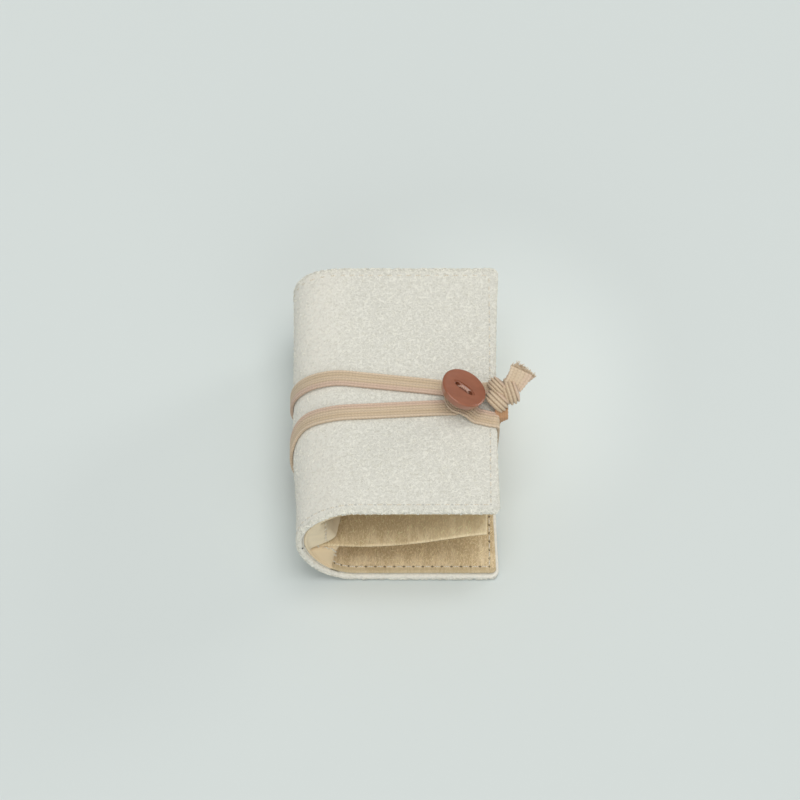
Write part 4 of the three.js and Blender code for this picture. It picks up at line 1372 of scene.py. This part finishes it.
def make_leaf():
    """Felt leaf: a thick soft sheet with blunt edges"""
    step = bpy.context.scene.nb_cloth.grain / MM
    half = LEAF_THICKNESS / 2
    end = HALF_LENGTH - LEAF_INSET
    rim = half * (1 - np.cos(RIM_TURNS[:-1]))
    line, normal = leaf_line(400)
    run = run_along(line)
    length = run[-1]
    xs = np.concatenate([rim, np.linspace(half, length - half, int(length / step)),
                         length - rim[::-1]])
    ys = np.concatenate([-end + rim, np.linspace(-end + half, end - half, int(2 * end / step)),
                         end - rim[::-1]])
    x, y = np.meshgrid(xs, ys, indexing="ij")
    edge = np.minimum(np.minimum(x, length - x), end - np.abs(y))
    lean = np.clip(1 - edge / half, 0, 1)
    swell = half * np.sqrt(1 - lean ** 2)
    flat = np.stack([x * 0.9, y * 0.3, x * 0], axis=-1).reshape(-1, 3)
    parts = Parts()
    rows, columns = x.shape
    shapes = []
    for way in (1, -1):
        nap = np.array([noise.noise(Vector(p) * 1.3 + Vector((0, 0, 9 * way)))
                        + 0.5 * noise.noise(Vector(p) * 3.3 + Vector((0, 0, 5 * way)))
                        for p in flat]).reshape(x.shape)
        lift = (swell + 0.12 * nap * (1 - lean)) * way
        cx = np.interp(x, run, line[:, 0]) + np.interp(x, run, normal[:, 0]) * lift
        cz = np.interp(x, run, line[:, 1]) + np.interp(x, run, normal[:, 1]) * lift
        shapes.append((np.stack([cx, y, cz], axis=-1), np.stack([x, y, lift], axis=-1)))
    parts.add(*shapes[0], grid_faces(rows, columns))
    parts.add(*shapes[1], grid_faces(rows, columns, True))
    random = np.random.default_rng(SEED + 4)
    count = int(length * 2 * end * FIBRES * 0.5)
    i = random.integers(4, rows - 4, count)
    j = random.integers(4, columns - 4, count)
    up = np.stack([np.interp(x[i, j], run, normal[:, 0]), np.zeros(count),
                   np.interp(x[i, j], run, normal[:, 1])], axis=-1)
    scatter_fibres(parts, shapes[0][0][i, j], up, shapes[0][1][i, j], random)
    piece = parts.piece("needle_leaf_felt", "felt", "felt", ["felt_leaf"])
    weld(piece)
    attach(piece, "leaf")


def only(piece):
    """Makes one object the selected and active one"""
    bpy.ops.object.select_all(action="DESELECT")
    bpy.context.view_layer.objects.active = piece
    piece.select_set(True)


def edit_faces(piece, wanted):
    """Opens a piece for editing, with the faces selected that a test wants"""
    bpy.ops.object.mode_set(mode="EDIT")
    bpy.ops.mesh.select_mode(type="FACE")
    bpy.ops.mesh.select_all(action="DESELECT")
    bpy.ops.object.mode_set(mode="OBJECT")
    for face in piece.data.polygons:
        face.select = wanted(face)
    bpy.ops.object.mode_set(mode="EDIT")


def weld(piece, gap=1e-6):
    """Joins the points that lie on each other"""
    only(piece)
    bpy.ops.object.mode_set(mode="EDIT")
    bpy.ops.mesh.select_all(action="SELECT")
    bpy.ops.mesh.remove_doubles(threshold=gap)
    bpy.ops.object.mode_set(mode="OBJECT")


# Stitches

def stitch_template(length, radius, sink, sides=6, steps=8):
    """One stitch along X that rises from its holes, with Z out of the cloth"""
    t = np.linspace(0, 1, steps + 1)
    x = (t - 0.5) * length
    z = radius * 0.55 + (radius + sink) * (np.sqrt(1 - np.abs(2 * t - 1) ** 3) - 1)
    thick = radius * (0.75 + 0.25 * np.sin(math.pi * t))
    ring = np.linspace(0, 2 * math.pi, sides, endpoint=False)
    points = np.stack([np.repeat(x[:, None], sides, 1),
                       thick[:, None] * np.cos(ring)[None, :],
                       z[:, None] + thick[:, None] * np.sin(ring)[None, :]], axis=-1)
    return points.reshape(-1, 3), tube_faces(steps + 1, sides)


def add_stitches(parts, s, y, turned, depth, facing, radius, sink, random):
    """Stitches at places on the wrap; turned ones run along the spine's line"""
    template, faces = stitch_template(STITCH_PITCH * 0.74, radius, sink)
    base, normal, along = on_book(np.asarray(s, float), np.asarray(y, float),
                                  np.full(len(s), float(depth)))
    if facing < 0:
        base = base + folded(base)
    up = normal * facing
    lengthwise = np.zeros_like(up) + np.array([0, 1.0, 0])
    x_axis = lengthwise if turned else along
    slew = random.normal(0, 0.035, len(s))[:, None]
    y_axis = np.cross(up, x_axis)
    x_axis, y_axis = x_axis + y_axis * slew, y_axis - x_axis * slew
    for k in range(len(s)):
        frame_axes = np.stack([x_axis[k], y_axis[k], up[k]])
        points = base[k] + template @ frame_axes
        places = template + np.array([STITCH_PITCH * k, 0, 0])
        parts.add(points, places, faces)


SEAM_Y = HALF_LENGTH - SEAM_INSET
SEAM_S = HALF_ROUND + FORE_X - FORE_EDGE_BOW - FORE_SEAM_INSET - SPINE_X


def cover_stitches(part):
    """Places of the stitches of one strip: along the tail and head, and the fore-edge"""
    middles = SEAM_S - STITCH_PITCH * (np.arange(60) + 0.5)
    everywhere = np.concatenate([middles[middles > 0], -middles[middles > 0]])
    low = -SEAM_S if part == 0 else spine_at(BORDERS[part - 1])
    high = SEAM_S if part == 5 else spine_at(BORDERS[part])
    chosen = np.sort(everywhere[(everywhere > low) & (everywhere <= high)])
    if part in (0, 5):
        way = -1 if part == 0 else 1
        ys = -SEAM_Y + STITCH_PITCH * (np.arange(int(2 * SEAM_Y / STITCH_PITCH)) + 0.5)
        return chosen, np.full(len(ys), way * SEAM_S), ys
    return chosen, np.zeros(0), np.zeros(0)


def make_stitches():
    """Topstitching round the cover, outside and inside"""
    random = np.random.default_rng(SEED + 1)
    outside = {5: ["front_outer_seam"], 0: ["back_outer_seam_tail", "back_outer_seam_head"]}
    inside = {5: ["front_inner_seam"], 0: ["back_inner_seam"]}
    sides = [("outer", 0.12, 1, 0.17, 0.30, outside),
             ("inner", INNER_DEPTH - 0.02, -1, 0.20, 0.30, inside)]
    for label, depth, facing, radius, sink, stands_for in sides:
        for part in range(6):
            parts = Parts()
            ends, fore_s, fore_y = cover_stitches(part)
            for way in (-1, 1):
                add_stitches(parts, ends, np.full(len(ends), way * SEAM_Y), False, depth, facing,
                             radius, sink, random)
            if part == 0 and facing > 0:
                fore_s = fore_s[:0]
                fore_y = fore_y[:0]
            if len(fore_s):
                add_stitches(parts, fore_s, fore_y, True, depth, facing, radius, sink, random)
            piece = parts.piece(f"topstitch_{label}_{part + 1}", "seam_thread", "seam_thread",
                                stands_for.get(part, ()))
            bend(piece, part, INNER_DEPTH + FOLD_REACH if facing < 0 and 0 < part < 5
                 else INNER_DEPTH)


# Button

BUTTON_LEAN = (0.42, 0.18)
BUTTON_PLACE = Vector((FORE_X - 11.7, -3.6, THICKNESS + 7.7))
HOLE_TURN = -0.52

# How far the underside draws in, the least height of a level face's normal, and the steps in
# and down of the dish
UNDERSIDE = 0.90
LEVEL = 0.999
DISH = [(0.5, 0), (0.7, 0.07), (1.2, 0.05)]
EYE_LENGTH = 8.0
EYE_WIDTH = 3.0


def button_pose():
    """Turn and place of the button on the front cover"""
    lean_x, lean_y = BUTTON_LEAN
    up = Vector((lean_x, lean_y, math.sqrt(1 - lean_x ** 2 - lean_y ** 2)))
    tilt = Vector((0, 0, 1)).rotation_difference(up).to_matrix().to_4x4()
    turn = Matrix.Rotation(HOLE_TURN, 4, "Z")
    return Matrix.Translation(BUTTON_PLACE * MM) @ tilt @ turn


def cut_with(piece, cutter):
    """Cuts one closed object out of another, and removes the cutter"""
    only(piece)
    modifier = piece.modifiers.new("cut", "BOOLEAN")
    modifier.operation = "DIFFERENCE"
    modifier.solver = "EXACT"
    modifier.object = cutter
    bpy.ops.object.modifier_apply(modifier=modifier.name)
    bpy.data.objects.remove(cutter)


def make_button():
    """Button: a rounded disc with a dished face, an eye-shaped hollow and two holes"""
    sizes = bpy.context.scene.nb_button
    half = sizes.thickness / 2
    bpy.ops.object.select_all(action="DESELECT")
    bpy.ops.mesh.primitive_cylinder_add(vertices=128, radius=sizes.radius,
                                        depth=sizes.thickness, end_fill_type="NGON")
    piece = bpy.context.active_object
    piece.name = piece.data.name = "button_disc"
    # An underside that draws in
    edit_faces(piece, lambda face: face.normal.z < -LEVEL)
    bpy.ops.transform.resize(value=(UNDERSIDE, UNDERSIDE, 1))
    bpy.ops.object.mode_set(mode="OBJECT")
    rim = piece.modifiers.new("rim", "BEVEL")
    rim.width = sizes.rim
    rim.segments = 8
    rim.limit_method = "ANGLE"
    rim.angle_limit = math.radians(40)
    bpy.ops.object.modifier_apply(modifier=rim.name)
    edit_faces(piece, lambda face: face.normal.z > LEVEL and len(face.vertices) > 50)
    # A shallow dish inside the rim
    for inset, drop in DISH:
        bpy.ops.mesh.inset(thickness=inset * MM)
        if drop:
            bpy.ops.transform.translate(value=(0, 0, -drop * MM))
    bpy.ops.object.mode_set(mode="OBJECT")
    for side in (-1, 1):
        bpy.ops.mesh.primitive_cylinder_add(vertices=40, radius=sizes.hole,
                                            depth=3 * sizes.thickness,
                                            location=(side * sizes.spacing / 2, 0, 0))
        cut_with(piece, bpy.context.active_object)
    bpy.ops.mesh.primitive_uv_sphere_add(segments=48, ring_count=24, radius=1,
                                         location=(0, 0, half - 0.15 * MM))
    eye = bpy.context.active_object
    bpy.ops.object.mode_set(mode="EDIT")
    bpy.ops.transform.resize(value=(EYE_LENGTH / 2 * MM, EYE_WIDTH / 2 * MM, 0.95 * MM))
    bpy.ops.object.mode_set(mode="OBJECT")
    cut_with(piece, eye)
    only(piece)
    piece.matrix_world = button_pose()
    bpy.ops.object.transform_apply(location=True, rotation=True, scale=True)
    bpy.ops.object.shade_smooth_by_angle(angle=math.radians(28))
    piece.data.materials.clear()
    piece.data.materials.append(finish("button"))
    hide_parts("button")
    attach(piece, "front")


def round_tube(parts, line, radius, sides=8, across_at=None):
    """Round tube along a line of points"""
    line = np.asarray(line, float)
    along = unit(np.gradient(line, axis=0))
    normal = np.cross(along[0], [0.3, 0.5, 0.8])
    outs = []
    for direction in along:
        normal = normal - direction * (normal @ direction)
        normal = normal / np.linalg.norm(normal)
        outs.append(normal)
    out = np.array(outs)
    across = np.cross(out, along)
    run = run_along(line)
    ring = np.linspace(0, 2 * math.pi, sides, endpoint=False)
    section = np.zeros((len(line), sides, 2))
    section[..., 0] = np.cos(ring) * radius
    section[..., 1] = np.sin(ring) * radius
    sweep(parts, line, across, out, section, run,
          ring if across_at is None else np.full(sides, across_at))


def smooth_line(points, count):
    """Even points on a Catmull-Rom curve through the given ones"""
    points = np.asarray(points, float)
    run = run_along(points, 0.5)
    return smooth_through(points, run, np.linspace(0, run[-1], count))


def make_button_thread():
    """Thread that sews the button on, in four strands twisted together"""
    sizes = bpy.context.scene.nb_button
    pose = button_pose()
    half = sizes.thickness / MM / 2
    hole = sizes.spacing / MM / 2
    radius = sizes.hole / MM
    bar = half - 0.45
    inner = hole - 0.45 * radius

    def on_button(x, z):
        return np.array(pose @ (Vector((x, 0, z)) * MM)) / MM

    spread = np.array([0.55 * math.cos(HOLE_TURN), 0.55 * math.sin(HOLE_TURN), 0])
    foot = np.array([*SHANK, THICKNESS + 0.3])
    waist = np.array([*SHANK, ROUTE_TOP + HOOK_RISE + BAND_THICKNESS])
    route = smooth_line([
        foot - spread, waist - spread, on_button(-inner, -half), on_button(-inner, half - 1.6),
        on_button(-inner + 0.3 * radius, half - 0.9), on_button(-hole + 1.5 * radius, bar),
        on_button(0, bar + 0.06), on_button(hole - 1.5 * radius, bar),
        on_button(inner - 0.3 * radius, half - 0.9), on_button(inner, half - 1.6),
        on_button(inner, -half), waist + spread, foot + spread,
    ], 200)
    along = unit(np.gradient(route, axis=0))
    first = np.cross(along, np.array(pose.to_3x3() @ Vector((0, 1, 0))))
    first = unit(first)
    second = np.cross(along, first)
    parts = Parts()
    turns = np.linspace(0, 5 * math.pi, len(route))
    for strand_turn in range(4):
        angle = turns + strand_turn * math.pi / 2
        line = route + 0.19 * (first * np.cos(angle)[:, None] + second * np.sin(angle)[:, None])
        round_tube(parts, line, 0.15)
    piece = parts.piece("button_sewing_thread", "button_thread", "button_thread",
                        ["button_thread"])
    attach(piece, "front")


# Elastic

def slide_off(piece):
    """Lets a piece of the elastic slide off the book, and flatten as it does"""
    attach(piece, "elastic")
    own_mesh(piece)


def make_band():
    """Braided elastic, doubled round the book"""
    sizes = bpy.context.scene.nb_band
    at, across, out, width, run = stations(band_points(), 0.4)
    thickness = sizes.thickness / MM
    section, side = ribbed_section(width, thickness, sizes.ribs, run)
    parts = Parts()
    # The third coordinate rises to 1 on the last stretch up to the knot, where the elastic's
    # painted brown shade lies
    sweep(parts, at, across, out, section, run, side, ease((run - run[-1] + 9) / 4))
    piece = parts.piece("elastic_round_book", "elastic", "elastic", ["elastic_band"])
    slide_off(piece)


# Wraps of the knot: the way of each one's axis, its middle from the knot's in shares of the
# knot's radius, and half its width, height and depth in the same shares
WRAPS = [
    ((0.70, 0.62, 0.36), (0.08, -0.86, -0.28), (0.64, 0.98, 0.70)),
    ((0.72, 0.60, 0.34), (0.16, 0.06, 0.12), (0.54, 0.92, 0.76)),
    ((0.95, 0.27, 0.16), (1.10, -0.16, -0.08), (0.62, 1.06, 0.84)),
]
WRAP_RIBS = 4
RIB_DEPTH = 0.23


def make_knot():
    """Knot of the two ends: three wraps of the ribbed elastic drawn together"""
    parts = Parts()
    rows = 12 * WRAP_RIBS + 1
    angle = np.linspace(0, 2 * math.pi, 96, endpoint=False)
    a, phi = np.meshgrid(np.linspace(-1, 1, rows), angle, indexing="ij")
    for axis, move, half in WRAPS:
        x_axis = unit(np.array(axis))
        z_axis = unit(np.array([0, -0.5, 0.86]) - x_axis * (x_axis @ np.array([0, -0.5, 0.86])))
        turned = np.stack([x_axis, np.cross(z_axis, x_axis), z_axis])
        bulge = np.maximum(1 - np.abs(a * 0.98) ** 3.2, 0.01) ** (1 / 3.2)
        slant = 0.05 * np.sin(phi + 9 * move[0])
        rib = np.abs(np.sin((a + slant) * WRAP_RIBS * math.pi / 2)) ** 0.6
        reach = bulge + RIB_DEPTH * (rib - 0.8) * (1 - np.abs(a) ** 8)
        shape = np.stack([a * half[0], reach * half[1] * np.cos(phi),
                          reach * half[2] * np.sin(phi)], axis=-1) * KNOT_RADIUS
        points = shape @ turned + KNOT + np.array(move) * KNOT_RADIUS
        # A third coordinate of -1 marks the knot for deeper painted shade in its grooves
        places = np.stack([phi * KNOT_RADIUS, a * WRAP_RIBS / 6, a * 0 - 1], axis=-1)
        parts.add(points, places, tube_faces(rows, len(angle)))
    piece = parts.piece("elastic_knot_wraps", "elastic", "elastic", ["elastic_knot"])
    slide_off(piece)


TAIL_LENGTH = 5.6
TAIL_SPREAD = (1.14, 1.38)
PALE_END = -0.45
TAIL_GAP = 0.45
TAIL_ROOT = (1.36, 0.26, 0.30)
TAIL_REACH = (0.56, 0.5, 0.66)
TAIL_SIDE = (0.87, -0.3, -0.38)
TAIL_TURNS = {"upper": 0.1, "lower": -0.14}


def make_tails():
    """The two cut ends, fanned a little apart, with frayed yarns"""
    random = np.random.default_rng(SEED + 2)
    ribs = bpy.context.scene.nb_band.ribs
    reach = unit(np.array(TAIL_REACH))
    across = unit(np.array(TAIL_SIDE) - np.dot(TAIL_SIDE, reach) * reach)
    out = np.cross(reach, across)
    root = KNOT + np.array(TAIL_ROOT) * KNOT_RADIUS
    for name, turn in TAIL_TURNS.items():
        rise = math.copysign((BAND_THICKNESS + TAIL_GAP) / 2, turn)
        share = np.linspace(-0.12, 1, 36)
        swing = turn * np.maximum(share, 0)
        direction = (reach[None, :] * np.cos(swing)[:, None]
                     + np.cross(out, reach)[None, :] * np.sin(swing)[:, None])
        side = (across[None, :] * np.cos(swing)[:, None]
                + np.cross(out, across)[None, :] * np.sin(swing)[:, None])
        at = root + out * rise + direction * (share * TAIL_LENGTH)[:, None]
        width = BAND_WIDTH * np.interp(share, (0, 1), TAIL_SPREAD)
        run = share * TAIL_LENGTH
        section, places = ribbed_section(width, BAND_THICKNESS, ribs, run)
        parts = Parts()
        sweep(parts, at, side, np.broadcast_to(out, at.shape), section, run, places, PALE_END)
        for _ in range(90):
            spot = random.uniform(-0.48, 0.48)
            up = random.uniform(-0.4, 0.4)
            base = at[-1] + side[-1] * spot * width[-1] + out * up
            lean = direction[-1] + side[-1] * random.normal(0, 0.3) + out * random.normal(0, 0.35)
            length = random.uniform(0.3, 1.2)
            bow = random.normal(0, 0.2, 3)
            line = [base + unit(lean) * length * t + bow * t * t for t in np.linspace(-0.25, 1, 4)]
            round_tube(parts, line, 0.09, 5, across_at=1 / 6)
        piece = parts.piece(f"elastic_cut_end_{name}", "elastic", "elastic",
                            [f"elastic_end_{name}"])
        slide_off(piece)


# Stage

# Where the floor is a little paler, from light thrown back by the book
PALE_PLACE = (0.02, 0.028, 0)


def make_stage():
    """Pale floor, three soft lamps, light from all around and the camera"""
    sizes = bpy.context.scene.nb_stage
    bpy.ops.object.select_all(action="DESELECT")
    bpy.ops.mesh.primitive_plane_add(size=sizes.floor_size, location=(0, 0, -0.0004))
    floor = bpy.context.active_object
    floor.name = "floor"
    made = Finish("pale_floor", 0.9, specular=0.1)
    base = finish_colour("floor")
    place = made.node("ShaderNodeTexCoord", {})["Object"]
    cloudy = made.noise(place, 2.0, 2.0)
    plain = made.mix(cloudy, shade(base, 0.99), shade(base, 1.01))
    reach = made.node("ShaderNodeVectorMath", {"operation": "DISTANCE"}, place, PALE_PLACE)
    made.paint(made.mix(1 - made.ramp(reach["Value"], 0.02, 0.075), plain, shade(base, 1.19)))
    floor.data.materials.append(made.material)

    world = bpy.context.scene.world or bpy.data.worlds.new("world")
    bpy.context.scene.world = world
    world.use_nodes = True
    tree = world.node_tree
    tree.nodes.clear()
    light = tree.nodes.new("ShaderNodeBackground")
    output = tree.nodes.new("ShaderNodeOutputWorld")
    light.inputs[0].default_value = (0.97, 0.99, 1.0, 1)
    light.inputs[1].default_value = sizes.sky
    tree.links.new(light.outputs[0], output.inputs[0])

    for name, strength, colour_of, way, spread in (
            ("above", sizes.above, (1.0, 0.99, 0.97), (0.15, 0.0, 1.30), 40),
            ("front", sizes.front, (1.0, 0.985, 0.96), (-0.15, -0.95, 0.75), 90),
            ("glint", sizes.glint, (1.0, 0.99, 0.97), (0.80, 0.50, 0.25), 20)):
        lamp_data = bpy.data.lights.new(name, "SUN")
        lamp_data.energy = strength
        lamp_data.angle = math.radians(spread)
        lamp_data.color = colour_of
        lamp = bpy.data.objects.new(name, lamp_data)
        bpy.context.scene.collection.objects.link(lamp)
        lamp.location = way
        lamp.rotation_mode = "QUATERNION"
        lamp.rotation_quaternion = Vector(way).to_track_quat("Z", "Y")

    camera_data = bpy.data.cameras.new("camera")
    camera = bpy.data.objects.new("camera", camera_data)
    bpy.context.scene.collection.objects.link(camera)
    camera_data.sensor_width = 36
    camera_data.lens = sizes.lens
    camera_data.clip_end = 50
    back = Vector((0, -math.cos(sizes.elevation), math.sin(sizes.elevation)))
    camera.location = Vector(sizes.target) + back * sizes.distance
    camera.rotation_mode = "QUATERNION"
    camera.rotation_quaternion = back.to_track_quat("Z", "Y")
    bpy.context.scene.camera = camera
    bpy.context.scene.view_settings.view_transform = "Standard"


def operator(name, label, text, maker):
    """Operator class that runs one maker"""

    def execute(self, context):
        maker()
        return {"FINISHED"}

    return type(f"NEEDLEBOOK_OT_{name}", (bpy.types.Operator,), {
        "bl_idname": f"needlebook.{name}", "bl_label": label, "__doc__": text,
        "execute": execute, "bl_options": {"REGISTER", "UNDO"}})


OPERATORS = [
    operator("stage", "Stage", "Add the floor, the light and the camera", make_stage),
    operator("cover", "Outer cloth", "Add the curled wool cover", make_cover),
    operator("interlining", "Interlining", "Add the wadding inside the cover",
             make_interlining),
    operator("linings", "Linings", "Add the linings of the covers and the spine", make_linings),
    operator("leaf", "Felt leaf", "Add the felt leaf for the needles", make_leaf),
    operator("stitches", "Topstitching", "Add the seams' stitches", make_stitches),
    operator("button", "Button", "Add the button", make_button),
    operator("button_thread", "Button thread", "Add the thread of the button",
             make_button_thread),
    operator("band", "Elastic", "Add the elastic round the book", make_band),
    operator("knot", "Knot", "Add the knot of the elastic", make_knot),
    operator("tails", "Cut ends", "Add the two cut ends of the elastic", make_tails),
]


class NEEDLEBOOK_PT_panel(bpy.types.Panel):
    """Sizes, colours and makers of the needle book"""

    bl_label = "Needle book"
    bl_idname = "NEEDLEBOOK_PT_panel"
    bl_space_type = "VIEW_3D"
    bl_region_type = "UI"
    bl_category = "Needle Book"

    def draw(self, context):
        for name in GROUPS:
            group = getattr(context.scene, name)
            box = self.layout.box()
            for prop in group.__annotations__:
                box.prop(group, prop)
        for made in OPERATORS:
            self.layout.operator(made.bl_idname)


def register():
    for name, group in GROUPS.items():
        bpy.utils.register_class(group)
        setattr(bpy.types.Scene, name, PointerProperty(type=group))
    for made in OPERATORS:
        bpy.utils.register_class(made)
    bpy.utils.register_class(NEEDLEBOOK_PT_panel)


def unregister():
    bpy.utils.unregister_class(NEEDLEBOOK_PT_panel)
    for made in reversed(OPERATORS):
        bpy.utils.unregister_class(made)
    for name, group in GROUPS.items():
        delattr(bpy.types.Scene, name)
        bpy.utils.unregister_class(group)


def main():
    register()
    bpy.ops.needlebook.stage()
    bpy.ops.needlebook.band()
    bpy.ops.needlebook.knot()
    bpy.ops.needlebook.tails()
    bpy.ops.needlebook.cover()
    bpy.ops.needlebook.interlining()
    bpy.ops.needlebook.linings()
    bpy.ops.needlebook.leaf()
    bpy.ops.needlebook.stitches()
    bpy.ops.needlebook.button()
    bpy.ops.needlebook.button_thread()


if __name__ == "__main__":
    main()
